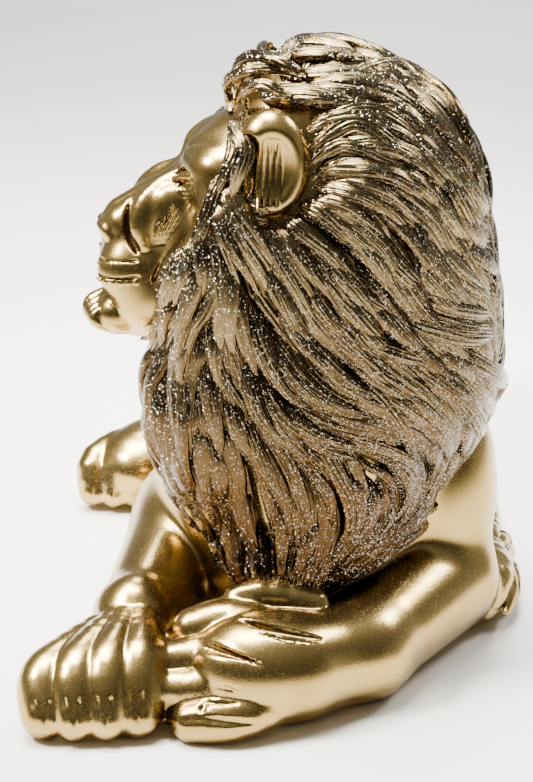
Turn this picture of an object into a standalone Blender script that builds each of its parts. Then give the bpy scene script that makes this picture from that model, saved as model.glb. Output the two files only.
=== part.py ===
"""A lying lion figurine, cast in resin as one solid piece.

The lion lies along Y and faces -Y, with its head turned to its right, towards -X.
The figure is sculpted as one distance field of eggs, tapered bones and locks of
hair, turned into a closed skin and thinned to a light faceted solid.
"""
import bpy
import math
import numpy as np

# Driving sizes, in metres
LION_HEIGHT = 0.187          # ground to the top of the mane
TAIL_THICKNESS = 0.0112      # across the tail where it lies on the ground
TUFT_THICKNESS = 0.0200      # across the tuft at the end of the tail
EAR_HEIGHT = 0.0310          # tip to root of an ear
EAR_DEPTH = 0.0085           # how far the ear is hollowed
TOE_WIDTH = 0.0150           # across one toe of a forepaw
LOCK_LENGTH = 0.058          # a lock of the mane along its curve
LOCK_WIDTH = 0.0115          # across a lock at its widest
LOCK_THICKNESS = 0.0092      # through a lock at its thickest
LOCK_PROUD = 0.0024          # how far a tip stands off the mane
TOES = 4
LOCK_SEEDS = 168             # starting places spread round the whole mane
RIM_LOCKS = 7                # more of them down each side of the face
EAR_LOCKS = 8                # and round the back of each ear

# Fineness of the skin
FIELD_STEP = 0.0016          # spacing of the points where the form is sampled
FACET_TARGET = 9400          # triangles kept in the finished solid
FLAT_BAND = 0.0002           # points this near the ground are set on it

# The sculptor's unit: the figure is 187 units high, so one unit is about a millimetre.
# Places and radii of the free form below are shares of its height in these units.
UNIT = LION_HEIGHT / 187.0
FACE_Y = -65.0               # the head's own plane of symmetry
FACE_ROOT = (-16.0, FACE_Y, 150.0)     # the mane's hair runs away from here
BEARD_TIP = (6.0, -93.0, 18.0)         # the chest hair gathers here
MANE_HEART = (18.0, -50.0, 112.0)      # middle of the mane
GOLDEN_TURN = math.pi * (1 + 5 ** 0.5)

# How the hair is combed: places on the mane and the direction it runs there, in the
# sculptor's units with y counted outward from the head's plane of symmetry.
GUIDE_REACH = 34.0           # the combing fades to the general flow about this far off
COMBING = (
    (-6, 20, 175, 1.0, 0.2, 0.1), (8, 20, 177, 1.0, 0.1, 0.0), (24, 12, 177, 1.0, 0.1, 0.0),
    (45, 12, 165, 0.7, 0.0, -0.7), (22, 5, 178, 0.8, -0.6, 0.0), (38, 1, 173, 0.9, 0.2, -0.5),
    (50, 1, 159, 0.6, -0.3, -0.8), (15, 21, 165, 0.9, -0.2, 0.4), (23, 23, 158, 1.0, -0.2, 0.0),
    (37, 21, 153, 0.8, -0.3, -0.5), (46, 19, 140, 0.4, -0.2, -0.9), (12, 27, 148, 1.0, 0.1, 0.1),
    (22, 28, 143, 0.8, 0.0, -0.6), (34, 26, 133, 0.6, -0.1, -0.8), (54, 13, 118, 0.4, -0.5, -0.8),
    (-10, 10, 167, 0.0, 0.9, -0.5), (-11, 20, 156, -0.1, 0.5, -0.8), (-7, 29, 139, 0.4, 0.1, -0.9),
    (1, 29, 134, 0.4, 0.0, -0.9), (9, 29, 134, 0.7, 0.1, -0.7), (-16, 27, 138, -0.2, 0.0, -1.0),
    (-21, 24, 124, -0.3, -0.3, -0.9), (-29, 14, 110, -0.5, -0.4, -0.8), (-14, 28, 118, 0.0, 0.0, -1.0),
    (-23, 22, 88, 0.1, 0.2, -1.0), (-28, 16, 73, 0.2, 0.0, -1.0), (-2, 30, 114, 0.4, 0.0, -0.9),
    (9, 29, 115, 0.7, 0.1, -0.7), (23, 30, 116, 0.8, 0.0, -0.6), (37, 27, 110, 0.7, -0.3, -0.6),
    (52, 16, 101, 0.5, -0.6, -0.6), (-9, 29, 95, 0.2, 0.1, -1.0), (-1, 31, 85, 0.5, 0.0, -0.9),
    (9, 31, 86, 0.8, 0.0, -0.6), (22, 30, 84, 0.9, -0.1, -0.5), (34, 27, 78, 0.5, -0.4, -0.8),
    (38, 19, 62, -0.1, -0.3, -1.0), (31, 21, 50, -0.6, 0.2, -0.8), (47, 21, 85, 0.4, -0.5, -0.8),
    (39, 11, 43, -0.7, 0.8, -0.1), (10, 30, 70, 0.5, -0.1, -0.9), (18, 28, 59, 0.1, -0.1, -1.0),
    (15, 29, 43, -0.3, 0.3, -0.9), (7, 31, 42, 0.0, 0.4, -0.9), (-15, 27, 75, 0.2, -0.1, -1.0),
    (-5, 26, 59, 0.3, 0.0, -0.9), (-19, 18, 58, 0.4, -0.2, -0.9), (-6, 29, 41, 0.3, 0.5, -0.8),
    (5, 34, 33, 0.0, 0.1, -1.0),
)


def melt(a, b, soft):
    """Union of two fields, with a fillet of the given size."""
    share = np.clip(0.5 + 0.5 * (b - a) / soft, 0, 1)
    return b + (a - b) * share - soft * share * (1 - share)


def carve(a, b, soft):
    """Field a with b taken away, with a rounded edge."""
    return -melt(-a, b, soft)


def turned(degrees_x, degrees_y, degrees_z):
    """Rotation matrix for turns about X, then Y, then Z."""
    cx, cy, cz = (math.cos(math.radians(d)) for d in (degrees_x, degrees_y, degrees_z))
    sx, sy, sz = (math.sin(math.radians(d)) for d in (degrees_x, degrees_y, degrees_z))
    about_x = np.array([[1, 0, 0], [0, cx, -sx], [0, sx, cx]])
    about_y = np.array([[cy, 0, sy], [0, 1, 0], [-sy, 0, cy]])
    about_z = np.array([[cz, -sz, 0], [sz, cz, 0], [0, 0, 1]])
    return about_z @ about_y @ about_x


def egg(p, centre, radii, turn=None):
    """Distance to an ellipsoid, close to true near its skin."""
    q = p - np.array(centre)
    if turn is not None:
        q = q @ turned(*turn)
    radii = np.array(radii, float)
    near = np.sqrt(((q / radii) ** 2).sum(1))
    slope = np.sqrt(((q / radii ** 2) ** 2).sum(1))
    return near * (near - 1) / np.maximum(slope, 1e-6)


def bone(p, start, end, start_radius, end_radius):
    """Distance to a tapered rod with round ends."""
    start, end = np.array(start, float), np.array(end, float)
    run = end - start
    share = np.clip(((p - start) @ run) / (run @ run), 0, 1)
    off = p - start - share[:, None] * run
    return np.sqrt((off ** 2).sum(1)) - (start_radius + (end_radius - start_radius) * share)


def smooth_curve(points, count):
    """Catmull-Rom curve through the points, read at count even places."""
    p = np.array(points, float)
    p = np.vstack([2 * p[0] - p[1], p, 2 * p[-1] - p[-2]])
    place = np.linspace(0, len(p) - 3, count)
    i = np.minimum(place.astype(int), len(p) - 4)
    u = (place - i)[:, None]
    a, b, c, d = p[i], p[i + 1], p[i + 2], p[i + 3]
    return 0.5 * (2 * b + (c - a) * u + (2 * a - 5 * b + 4 * c - d) * u ** 2
                  + (3 * b - a - 3 * c + d) * u ** 3)


def rope(p, points, radii, count=12, soft=1.0):
    """Distance to a smooth cord through the points, with a radius at each."""
    line = smooth_curve([tuple(q) + (r,) for q, r in zip(points, radii)], count)
    field = None
    for a, b in zip(line[:-1], line[1:]):
        piece = bone(p, a[:3], b[:3], a[3], b[3])
        field = piece if field is None else melt(field, piece, soft)
    return field


def rise(value, low, high):
    """0 below low, 1 above high, and a smooth rise between."""
    t = np.clip((value - low) / (high - low), 0, 1)
    return t * t * (3 - 2 * t)


# Trunk and limbs

def trunk(p):
    """Chest, barrel, loin and rump, with the brisket between the forelegs."""
    field = egg(p, (12, -38, 58), (42, 54, 56))
    field = melt(field, egg(p, (13, 28, 44), (38, 64, 51)), 14)
    field = melt(field, egg(p, (14, 58, 66), (27, 52, 37)), 12)
    field = melt(field, egg(p, (15, 90, 54), (37, 38, 46)), 14)
    return melt(field, egg(p, (9, -57, 25), (27, 29, 35)), 8)


def haunch(p, side):
    """Folded thigh and shank; side is -1 for the lion's right, 1 for its left."""
    x = 15 + side * 30
    thigh = egg(p, (x, 74, 42), (18, 43, 36), (20, 0, side * -4))
    shank = bone(p, (x + side * 5, 38, 25), (x + side * 5, 106, 19), 17, 10)
    return melt(thigh, shank, 7)


def hind_foot(p, hock, toe):
    """Long hind foot flat on the ground, from the hock to its toes."""
    lean = (toe[0] - hock[0]) / (hock[1] - toe[1])
    field = bone(p, (*hock, 12.5), (toe[0] - lean * 24, toe[1] + 26, 12.5), 11, 12)
    field = melt(field, egg(p, (toe[0] - lean * 12, toe[1] + 17, 12), (15, 16, 13)), 5)
    spread = 28.0 / TOES
    for i in range(TOES):
        out = (i - (TOES - 1) / 2) * spread
        x, y = toe[0] + out, toe[1] + 6 + abs(out) * 0.25
        knuckle = (toe[0] + out * 0.8 - lean * 12, y + 13, 16.5)
        line = [knuckle, (x, y + 5, 13.5), (x + lean * 1.5, y, 6)]
        field = melt(field, rope(p, line, [5.6, 5.9, 5.2], 6), 2.0)
    return field


def right_foreleg(p):
    """Foreleg stretched forward, its four toes side by side on the ground."""
    thick = TOE_WIDTH / UNIT / 2
    field = bone(p, (-6, -50, 56), (-20, -28, 28), 22, 18)
    field = melt(field, bone(p, (-24, -30, 21), (-38.5, -84, 17.5), 18.5, 11.5), 9)
    field = melt(field, egg(p, (-39, -86, 18.5), (11.5, 12, 11.5)), 5)
    field = melt(field, egg(p, (-46, -108, 12), (18, 18, 12)), 8)
    for i in range(TOES):
        out = (i - (TOES - 1) / 2) * 26.4 / (TOES - 1)
        x = -50.0 + out
        y = -126.6 + 0.011 * out * out + 0.02 * out
        drop = 0.26 * max(-out, 0)
        root = (-41.5 + out * 0.36, -92, 21.5 - drop * 0.6)
        line = [root, (-47 + out * 0.84, -110, 20.5 - drop), (x, y + 7, 16.5 - drop * 0.7), (x, y + 0.4, 6.7)]
        radii = [thick * 0.68, thick * 0.88, thick, thick * 0.92]
        field = melt(field, rope(p, line, radii, 10), 1.3)
    inner_edge = [(-33, -93, 20), (-30.5, -106, 18.5), (-29.5, -116, 13), (-29.5, -119, 6)]
    return melt(field, rope(p, inner_edge, [3.0, 3.6, 4.2, 4.4], 8), 1.3)


def left_foreleg(p):
    """Foreleg folded across the chest, its paw on edge against the right one."""
    thick = TOE_WIDTH / UNIT / 2
    field = egg(p, (51, -47, 39), (19, 22, 38), (0, 5, 0))
    field = melt(field, bone(p, (53.5, -56, 17), (28, -97, 13.5), 17.5, 14), 6)
    field = melt(field, bone(p, (28, -97, 13.5), (10, -109, 14.5), 14, 15.5), 6)
    field = melt(field, egg(p, (-3, -112.5, 15.5), (20, 16.5, 16.5)), 7)
    for i in range(TOES):
        tilt = i / (TOES - 1)
        y, z = -125.5 + 20.5 * tilt, 6.3 + 19 * tilt
        x = -21 - 9.6 * tilt * (1 - tilt)
        line = [(9, -110 + (y + 110) * 0.5, 15 + (z - 15) * 0.5), (x + 13, y, z + 1.0), (x, y, z - 1.0)]
        field = melt(field, rope(p, line, [thick * 0.8, thick * 0.93, thick * 0.84], 8), 1.2)
    dewclaw = [(14, -98, 29), (0, -99, 32.5), (-9, -101, 32)]
    return melt(field, rope(p, dewclaw, [4.2, 4.6, 3.6], 6), 1.5)


def tail(p):
    """Tail from the rump, round the left hind foot and forward, with its tuft."""
    r = TAIL_THICKNESS / UNIT / 2
    t = TUFT_THICKNESS / UNIT / 2
    points = [(15, 112, 70), (17, 127, 56), (27, 135, 34), (46, 129, 15), (62, 110, r + 2.6),
              (69, 80, r + 0.8), (71, 40, r), (71, 0, r), (70, -20, r + 0.6)]
    radii = [r + 3.6, r + 3.6, r + 2.6, r + 2, r + 1.3, r + 0.8, r + 0.2, r, r]
    field = rope(p, points, radii, 26)
    tuft = [(70, -10, r + 1), (69, -28, t), (68, -46, t + 1), (67, -58, t * 0.7)]
    return melt(field, rope(p, tuft, [r, t * 0.95, t, t * 0.35], 10), 2)


# Head

def mirrored(p):
    """The same points folded onto one side of the head's plane of symmetry."""
    q = p.copy()
    q[:, 1] = np.abs(p[:, 1] - FACE_Y)
    return q


def head(p):
    """Skull, brow, bridge, muzzle and jaw, the same on both sides of the face."""
    q = mirrored(p)
    field = egg(q, (-1, 0, 147), (22.5, 24, 22.5))
    field = melt(field, egg(q, (-15.2, 7.5, 155), (8, 8, 6.4)), 6)
    field = melt(field, egg(q, (-12, 15, 154.8), (8.8, 7.6, 6.6)), 4)
    bridge = np.minimum(bone(q, (-18, 3.6, 148), (-40.5, 3.4, 135.2), 7, 5.8),
                        bone(q, (-18, 0, 148.5), (-40.5, 0, 136), 6.6, 6))
    field = melt(field, bridge, 4)
    field = melt(field, egg(q, (-29, 0, 124), (17, 14.5, 14.5)), 7)
    field = melt(field, egg(q, (-38, 6.6, 122.5), (10.4, 9, 9.8)), 3.2)
    field = melt(field, egg(q, (-43.8, 0, 132.8), (4.2, 6.8, 4.8)), 2.2)
    field = melt(field, egg(q, (-12, 13, 132), (15, 12.5, 17)), 9)
    field = melt(field, egg(q, (-8, 19, 141), (12, 7, 10)), 8)
    field = melt(field, bone(q, (-42.5, 0, 107.6), (-14, 7, 113), 7.2, 13.5), 5)
    field = melt(field, egg(q, (-34, 7.5, 115), (9.5, 8.6, 9.5)), 4)
    field = melt(field, egg(q, (-45, 0, 107.6), (6.6, 7.4, 6)), 2.5)
    field = carve(field, egg(q, (-28, 20.5, 138.5), (8, 7.5, 9)), 5)
    return face_lines(field, q)


def face_lines(field, q):
    """Eyes, cheekbone ridge, nostrils, mouth and the folds round the whisker pads."""
    field = carve(field, egg(q, (-24.6, 13.6, 150.2), (5.4, 6, 3.4)), 2.4)
    field = melt(field, egg(q, (-18.8, 10.8, 150), (4.6, 5.4, 3.4)), 0.8)
    ridge = [(-25.6, 5.6, 150.2), (-30.2, 7.2, 146.8), (-34.4, 8.8, 141.6), (-35.2, 11, 134)]
    field = melt(field, rope(q, ridge, [1.2, 2.2, 2.7, 1.2], 9, 0.5), 1.6)
    field = carve(field, egg(q, (-47.9, 3.3, 131), (2.2, 1.8, 1.5)), 0.8)
    crease = [(-39, 6.6, 142), (-38.8, 10.6, 134.5), (-35.6, 13.2, 128.6), (-32.5, 15.6, 121)]
    field = carve(field, rope(q, crease, [0.5, 1.4, 1.2, 0.5], 9, 0.4), 1.4)
    lip = [(-49.9, 0, 117.2), (-46.6, 7.4, 114.2), (-43, 10.2, 110.6), (-41, 11.4, 106)]
    return carve(field, rope(q, lip, [1.2, 1.6, 1.5, 0.8], 9, 0.4), 1.0)


def ears(p):
    """Round upright ears, each a shell hollowed from its outer side."""
    q = mirrored(p)
    half = EAR_HEIGHT / UNIT / 2
    deep = EAR_DEPTH / UNIT
    shell = egg(q, (0.8, 25, 161), (half * 0.63, 8.5, half))
    cup = egg(q, (0, 33.5, 161.5), (half * 0.45, deep + 1, half * 0.79))
    return carve(shell, cup, 1.6)


def ear_rooms(p):
    """Clear space in the hair round each ear's opening."""
    half = EAR_HEIGHT / UNIT / 2
    return egg(mirrored(p), (-0.5, 36, 161.5), (half * 0.55, 11, half * 0.88))


# Mane

def mane_base(p):
    """The mane's mass under its locks, cut off along the rim of the face."""
    field = egg(p, (18, -56, 135), (41, 38, 44.5))
    field = melt(field, egg(p, (22, -54, 94), (43, 42, 50)), 16)
    field = melt(field, egg(p, (-5, -70, 82), (27, 24, 36)), 14)
    field = melt(field, bone(p, (13, -62, 70), (5, -84, 36), 30, 11), 12)
    field = melt(field, bone(p, (16, -32, 118), (15, -6, 86), 35, 31), 16)
    field = melt(field, egg(p, (9, -62, 166.5), (17, 22, 13)), 10)
    field = melt(field, egg(mirrored(p), (-6, 19, 122), (17, 10.5, 31), (0, 14, 0)), 7)
    behind_rim = rim_distance(p)
    return carve(field, behind_rim, 4)


def forelock(p):
    """Short tufts that stand up from the brow and curl over, each with its own lean."""
    field = None
    for out, low, lean in ((-17, 7, -3), (-8, 0.5, 3), (1, 1.5, -2), (10, 3, 4), (18, 8, -2)):
        y = FACE_Y + out
        line = [(-12.5, y, 164 - low), (-9.5, y + lean * 0.2, 173 - low),
                (-3.5, y + lean * 0.6, 180.5 - low), (2.5, y + lean, 182.8 - low),
                (10, y + lean * 1.6, 178.5 - low)]
        tuft = rope(p, line, [2.5, 4.4, 4.8, 4.2, 2.2], 9)
        field = tuft if field is None else melt(field, tuft, 0.8)
    return field


def rim_distance(p):
    """How far a point lies behind the slanting rim of the face, in units."""
    behind = (p[:, 0] + 14.5 + 0.42 * (161 - p[:, 2])) * 0.92
    return np.where(p[:, 2] < 104, behind + (104 - p[:, 2]) * 1.2, behind)


def bare_lion(p):
    """Everything but the mane and the head."""
    field = trunk(p)
    for side in (-1, 1):
        field = melt(field, haunch(p, side), 9)
    field = melt(field, hind_foot(p, (-17, 108), (-47, 25)), 5)
    field = melt(field, hind_foot(p, (48, 112), (56, 34)), 5)
    field = melt(field, right_foreleg(p), 6)
    field = melt(field, left_foreleg(p), 6)
    return melt(field, tail(p), 2.5)


def whole_lion(p):
    """The figure before its locks are laid on."""
    field = melt(bare_lion(p), mane_base(p), 6)
    field = melt(field, head(p), 4)
    field = melt(field, forelock(p), 1.5)
    field = carve(field, ear_rooms(p), 3)
    return melt(field, ears(p), 1.2)


def hair_bed(p):
    """The surface that the locks lie on."""
    field = melt(mane_base(p), head(p), 5)
    return melt(field, trunk(p), 6)


def unit_rows(v):
    """Each row of v at length one."""
    return v / np.maximum(np.linalg.norm(v, axis=-1, keepdims=True), 1e-9)


def outward(p):
    """Outward normals of the hair bed, from four samples round each point."""
    corners = np.array([[1, -1, -1], [-1, -1, 1], [-1, 1, -1], [1, 1, 1]], float)
    return unit_rows(sum(hair_bed(p + 0.5 * c)[:, None] * c for c in corners))


def wave(p):
    """A slow swell between -1 and 1 that makes neighbouring locks bend together."""
    x, y, z = p.T
    return (np.sin(x / 13 + np.sin(y / 17) * 1.3 + z / 19 + 0.7)
            + np.sin(y / 11 - z / 15 + x / 29 + 2.1)
            + 0.7 * np.sin(z / 9 + x / 21 - y / 25)) / 2.4


def guided(p):
    """Direction of the nearest guides of COMBING at each point, and how near they are."""
    q = mirrored(p)
    total, near = np.zeros(p.shape), np.zeros(len(p))
    for x, y, z, along_x, along_y, along_z in COMBING:
        off = ((q - np.array((x, y, z))) ** 2).sum(1) + GUIDE_REACH ** 2 / 16
        total += np.array((along_x, along_y, along_z)) * (GUIDE_REACH ** 2 / off)[:, None] ** 2
        near += (GUIDE_REACH ** 2 / off) ** 2
    total[:, 1] *= np.sign(p[:, 1] - FACE_Y)
    return total / near[:, None], near / (near + 1)


def hair_flow(p, normal):
    """The way hair runs: away from the face, then down, then in to the beard tip."""
    away = p - np.array(FACE_ROOT)
    far = np.linalg.norm(away, axis=1)
    way = away / far[:, None]
    way[:, 2] -= 1.7 * rise(far, 20, 100)
    way[:, 0] += 0.15
    pull = rise(-p[:, 2], -95, -40) * rise(-p[:, 1], 30, 60)
    way += unit_rows(np.array(BEARD_TIP) - p) * (pull * 1.2)[:, None]
    guide, share = guided(p)
    way = unit_rows(way) * (1 - share)[:, None] + unit_rows(guide) * share[:, None]
    way = unit_rows(way - (way * normal).sum(1, keepdims=True) * normal)
    bend = math.radians(20) * wave(p)
    return way * np.cos(bend)[:, None] + np.cross(normal, way) * np.sin(bend)[:, None]


def mane_hem(p):
    """Height of the mane's lower edge, a V over the chest that levels at the sides."""
    vee = 20 + 1.05 * np.maximum(2 - p[:, 0], 0) + 0.62 * np.maximum(p[:, 0] - 5, 0)
    return np.minimum(vee, 46 + 0.30 * np.maximum(p[:, 1] + 60, 0))


def settled(p, way):
    """Points brought in from outside, against their way, until they meet the bed."""
    for _ in range(60):
        p = p - way * np.maximum(hair_bed(p), 0)[:, None] * 0.9
    return p


def spread_roots(count):
    """Even places on the mane, by golden turns round its middle."""
    i = np.arange(count) + 0.5
    tilt, turn = np.arccos(1 - 2 * i / count), GOLDEN_TURN * i
    way = np.stack([np.cos(turn) * np.sin(tilt), np.sin(turn) * np.sin(tilt), np.cos(tilt)], 1)
    p = settled(np.array(MANE_HEART) + way * 130, way)
    on_mane = np.abs(mane_base(p)) < 3
    before_rim = (rim_distance(p) < 1) & (np.abs(p[:, 1] - FACE_Y) < 34) & (p[:, 2] > 98)
    in_ear = egg(mirrored(p), (0, 25, 161), (11, 11, 17)) < 0
    return p[on_mane & ~before_rim & ~in_ear & (p[:, 2] > mane_hem(p) + 6)]


def rim_roots(rim_count, ear_count):
    """Places along the rim of the face and round the back of each ear."""
    z = np.linspace(115, 166, rim_count)
    x = 2.5 - 14.5 - 0.42 * (161 - z)
    angle = np.radians(np.linspace(-115, 105, ear_count))
    x = np.concatenate([x, 0.8 + 12.5 * np.cos(angle)])
    z = np.concatenate([z, 161 + 18.0 * np.sin(angle)])
    sides = []
    for side in (-1, 1):
        way = np.zeros((len(x), 3))
        way[:, 1] = side
        sides.append(settled(np.stack([x, FACE_Y + side * 110 + 0 * x, z], 1), way))
    p = np.concatenate(sides)
    return p[np.abs(hair_bed(p)) < 1]


def lock_roots():
    """Where the locks grow: spread over the mane, with a ruff round face and ears."""
    return np.concatenate([spread_roots(LOCK_SEEDS), rim_roots(RIM_LOCKS, EAR_LOCKS)])


def lock_lines(roots, length, steps):
    """Carry each root along the hair's flow, kept on the bed, with its normals."""
    p, normal = roots, outward(roots)
    line, normals = [p], [normal]
    for _ in range(steps):
        p = p + hair_flow(p, normal) * (length / steps)[:, None]
        for _ in range(2):
            normal = outward(p)
            p = p - normal * hair_bed(p)[:, None]
        line.append(p)
        normals.append(normal)
    return np.stack(line, 1), np.stack(normals, 1)


def mane_locks(seed=7, steps=8):
    """Middle lines, normals, half widths and half thicknesses of the locks."""
    rng = np.random.default_rng(seed)
    roots = lock_roots()
    length = LOCK_LENGTH / UNIT * rng.uniform(0.8, 1.15, len(roots))
    line, _ = lock_lines(roots, length, steps)
    above = (line[:, :, 2] > mane_hem(line.reshape(-1, 3)).reshape(line.shape[:2])).mean(1)
    keep = above > 0.35
    roots, length = roots[keep], (length * above)[keep]
    line, normals = lock_lines(roots, length, steps)
    along = np.linspace(0, 1, steps + 1)
    size = rng.uniform(0.8, 1.1, len(roots))[:, None]
    taper = np.minimum(1, 0.45 + along / 0.3) * (1 - np.clip((along - 0.4) / 0.6, 0, 1) ** 1.6)
    half_width = LOCK_WIDTH / UNIT / 2 * size * np.maximum(taper, 0.12)
    half_thick = LOCK_THICKNESS / UNIT / 2 * size * np.maximum(taper, 0.2) ** 0.7
    proud = -0.9 + (LOCK_PROUD / UNIT + 0.9) * along
    return line + normals * proud[None, :, None], normals, half_width, half_thick


def lock_field(p, line, normals, half_width, half_thick):
    """Distance to one lock: a flattened rod whose broad side lies on the mane."""
    run = unit_rows(np.gradient(line, axis=0))
    side = unit_rows(np.cross(run, normals))
    best = np.full(len(p), 1e3)
    for i in range(len(line) - 1):
        step = line[i + 1] - line[i]
        share = np.clip(((p - line[i]) @ step) / (step @ step), 0, 1)
        off = p - line[i] - share[:, None] * step
        wide = half_width[i] + (half_width[i + 1] - half_width[i]) * share
        thick = half_thick[i] + (half_thick[i + 1] - half_thick[i]) * share
        across = (off @ side[i]) / wide
        through = (off @ normals[i]) / thick
        onward = (off @ run[i]) / thick
        best = np.minimum(best, (np.sqrt(across ** 2 + through ** 2 + onward ** 2) - 1) * thick)
    return best


# Skin

def sample(field, low, high, step, block=4):
    """Field values on a grid: exact near the skin, read block by block far from it."""
    blocks = np.ceil((high - low) / (step * block)).astype(int)
    middles = [low[i] + step * block * (np.arange(blocks[i]) + 0.5) for i in range(3)]
    coarse = np.stack(np.meshgrid(*middles, indexing="ij"), -1).reshape(-1, 3)
    rough = field(coarse).reshape(blocks)
    near = np.abs(rough) < step * block * 1.5
    grid = rough.repeat(block, 0).repeat(block, 1).repeat(block, 2)
    marked = np.argwhere(near.repeat(block, 0).repeat(block, 1).repeat(block, 2))
    for start in range(0, len(marked), 300000):
        i = marked[start:start + 300000]
        grid[tuple(i.T)] = field(low + i * step)
    return grid


def add_locks(grid, low, step):
    """Melt every lock into the grid, each inside its own small box."""
    for line, normals, wide, thick in zip(*mane_locks()):
        reach = wide.max() + 3
        first = np.maximum(((line.min(0) - reach - low) / step).astype(int), 0)
        last = np.minimum(((line.max(0) + reach - low) / step).astype(int) + 2, grid.shape)
        box = tuple(slice(a, b) for a, b in zip(first, last))
        places = np.stack(np.meshgrid(*[np.arange(a, b) for a, b in zip(first, last)],
                                      indexing="ij"), -1).reshape(-1, 3)
        lock = lock_field(low + places * step, line, normals, wide, thick)
        grid[box] = melt(grid[box], lock.reshape(grid[box].shape), 1.1)


def fill_pinches(grid):
    """Fill grid points until no two solid ones meet only at an edge or a corner."""
    inside = grid < 0
    changed = True
    while changed:
        before = inside.sum()
        for axis in range(3):
            flat = np.moveaxis(inside, axis, 0)
            a, b = flat[:, :-1, :-1], flat[:, 1:, :-1]
            c, d = flat[:, :-1, 1:], flat[:, 1:, 1:]
            c |= a & d & ~b & ~c
            a |= b & c & ~a & ~d
        corners = [inside[i:i - 1 or None, j:j - 1 or None, k:k - 1 or None]
                   for i in (0, 1) for j in (0, 1) for k in (0, 1)]
        total = sum(c.astype(np.int8) for c in corners)
        for one, other in ((0, 7), (1, 6), (2, 5), (3, 4)):
            pair = corners[one] & corners[other] & (total == 2)
            corners[one ^ 1][pair] = True
            gap = ~corners[one] & ~corners[other] & (total == 6)
            corners[one][gap] = True
        changed = inside.sum() > before
    grid[inside & (grid >= 0)] = -0.05
    return grid


def net(grid, low, step):
    """Surface nets: one point in each cell that the skin crosses, joined by quads."""
    inside = grid < 0
    shape = np.array(grid.shape) - 1
    offsets = [(i, j, k) for i in (0, 1) for j in (0, 1) for k in (0, 1)]
    count = sum(inside[i:i + shape[0], j:j + shape[1], k:k + shape[2]].astype(np.int8)
                for i, j, k in offsets)
    crossed = (count > 0) & (count < 8)
    cells = np.argwhere(crossed)
    number = np.full(crossed.shape, -1)
    number[crossed] = np.arange(len(cells))
    total, hits = np.zeros((len(cells), 3)), np.zeros(len(cells))
    for corner in offsets:
        for axis in range(3):
            if corner[axis] == 0:
                end = list(corner)
                end[axis] = 1
                a, b = (grid[tuple((cells + c).T)] for c in (corner, end))
                crosses = (a < 0) != (b < 0)
                place = np.array(corner, float) + np.zeros((len(cells), 3))
                place[:, axis] += np.where(crosses, a / np.where(crosses, a - b, 1), 0)
                total += place * crosses[:, None]
                hits += crosses
    quads = []
    for axis in range(3):
        u, v = (i for i in range(3) if i != axis)
        start, end = [slice(None)] * 3, [slice(None)] * 3
        start[axis], end[axis] = slice(0, -1), slice(1, None)
        edge = np.argwhere(inside[tuple(start)] != inside[tuple(end)])
        ring = []
        for du, dv in ((1, 1), (0, 1), (0, 0), (1, 0)):
            cell = edge.copy()
            cell[:, u] -= du
            cell[:, v] -= dv
            ring.append(number[tuple(cell.T)])
        quad = np.stack(ring, 1)
        forward = inside[tuple(edge.T)] == (axis != 1)
        quad[~forward] = quad[~forward][:, ::-1]
        quads.append(quad)
    return low + step * (cells + total / hits[:, None]), np.concatenate(quads)


def largest_shell(points, faces):
    """Keep the one connected shell with the most points."""
    label = np.arange(len(points))
    while True:
        lowest = label[faces].min(1)
        fresh = label.copy()
        np.minimum.at(fresh, faces.ravel(), np.repeat(lowest, faces.shape[1]))
        fresh = fresh[fresh]
        if (fresh == label).all():
            break
        label = fresh
    keep = label == np.bincount(label).argmax()
    renumber = np.cumsum(keep) - 1
    return points[keep], renumber[faces[keep[faces[:, 0]]]]


def lion_skin():
    """Points and quads of the finished figure in units, standing on z = 0."""
    step = FIELD_STEP / UNIT
    low = np.array([-80.0, -145.0, -3.5 * step])
    high = np.array([95.0, 155.0, 200.0])
    grid = sample(whole_lion, low, high, step)
    add_locks(grid, low, step)
    heights = low[2] + step * np.arange(grid.shape[2])
    grid = np.maximum(grid, -heights[None, None, :])
    return largest_shell(*net(fill_pinches(grid), low, step))


# The solid

def resin_gold():
    """Cast resin under a champagne gold metallic paint."""
    material = bpy.data.materials.new("gold painted resin")
    material.use_nodes = True
    shader = material.node_tree.nodes["Principled BSDF"]
    shader.inputs["Base Color"].default_value = (0.46, 0.33, 0.15, 1)
    shader.inputs["Metallic"].default_value = 0.9
    shader.inputs["Roughness"].default_value = 0.34
    return material


def make_lion():
    """Build the figure, centre it over the origin and thin its facets."""
    points, faces = lion_skin()
    middle = (points.min(0) + points.max(0)) / 2
    points = (points - [middle[0], middle[1], 0]) * UNIT
    mesh = bpy.data.meshes.new("lion")
    mesh.from_pydata(points.tolist(), [], faces.tolist())
    mesh.materials.append(resin_gold())
    lion = bpy.data.objects.new("lion", mesh)
    bpy.context.collection.objects.link(lion)
    thin = lion.modifiers.new("fewer facets", "DECIMATE")
    thin.ratio = FACET_TARGET / (2 * len(faces))
    thin.use_collapse_triangulate = True
    view = bpy.context.evaluated_depsgraph_get()
    lion.data = bpy.data.meshes.new_from_object(lion.evaluated_get(view))
    lion.modifiers.clear()
    for point in lion.data.vertices:
        if point.co.z < FLAT_BAND:
            point.co.z = 0.0
    lion.data.shade_smooth()
    return lion


for old in list(bpy.data.objects):
    bpy.data.objects.remove(old, do_unlink=True)
make_lion()
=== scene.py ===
"""Looks of a lying lion figurine: cast resin under gold paint, with a glittered mane."""
import math
from concurrent.futures import ThreadPoolExecutor

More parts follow.
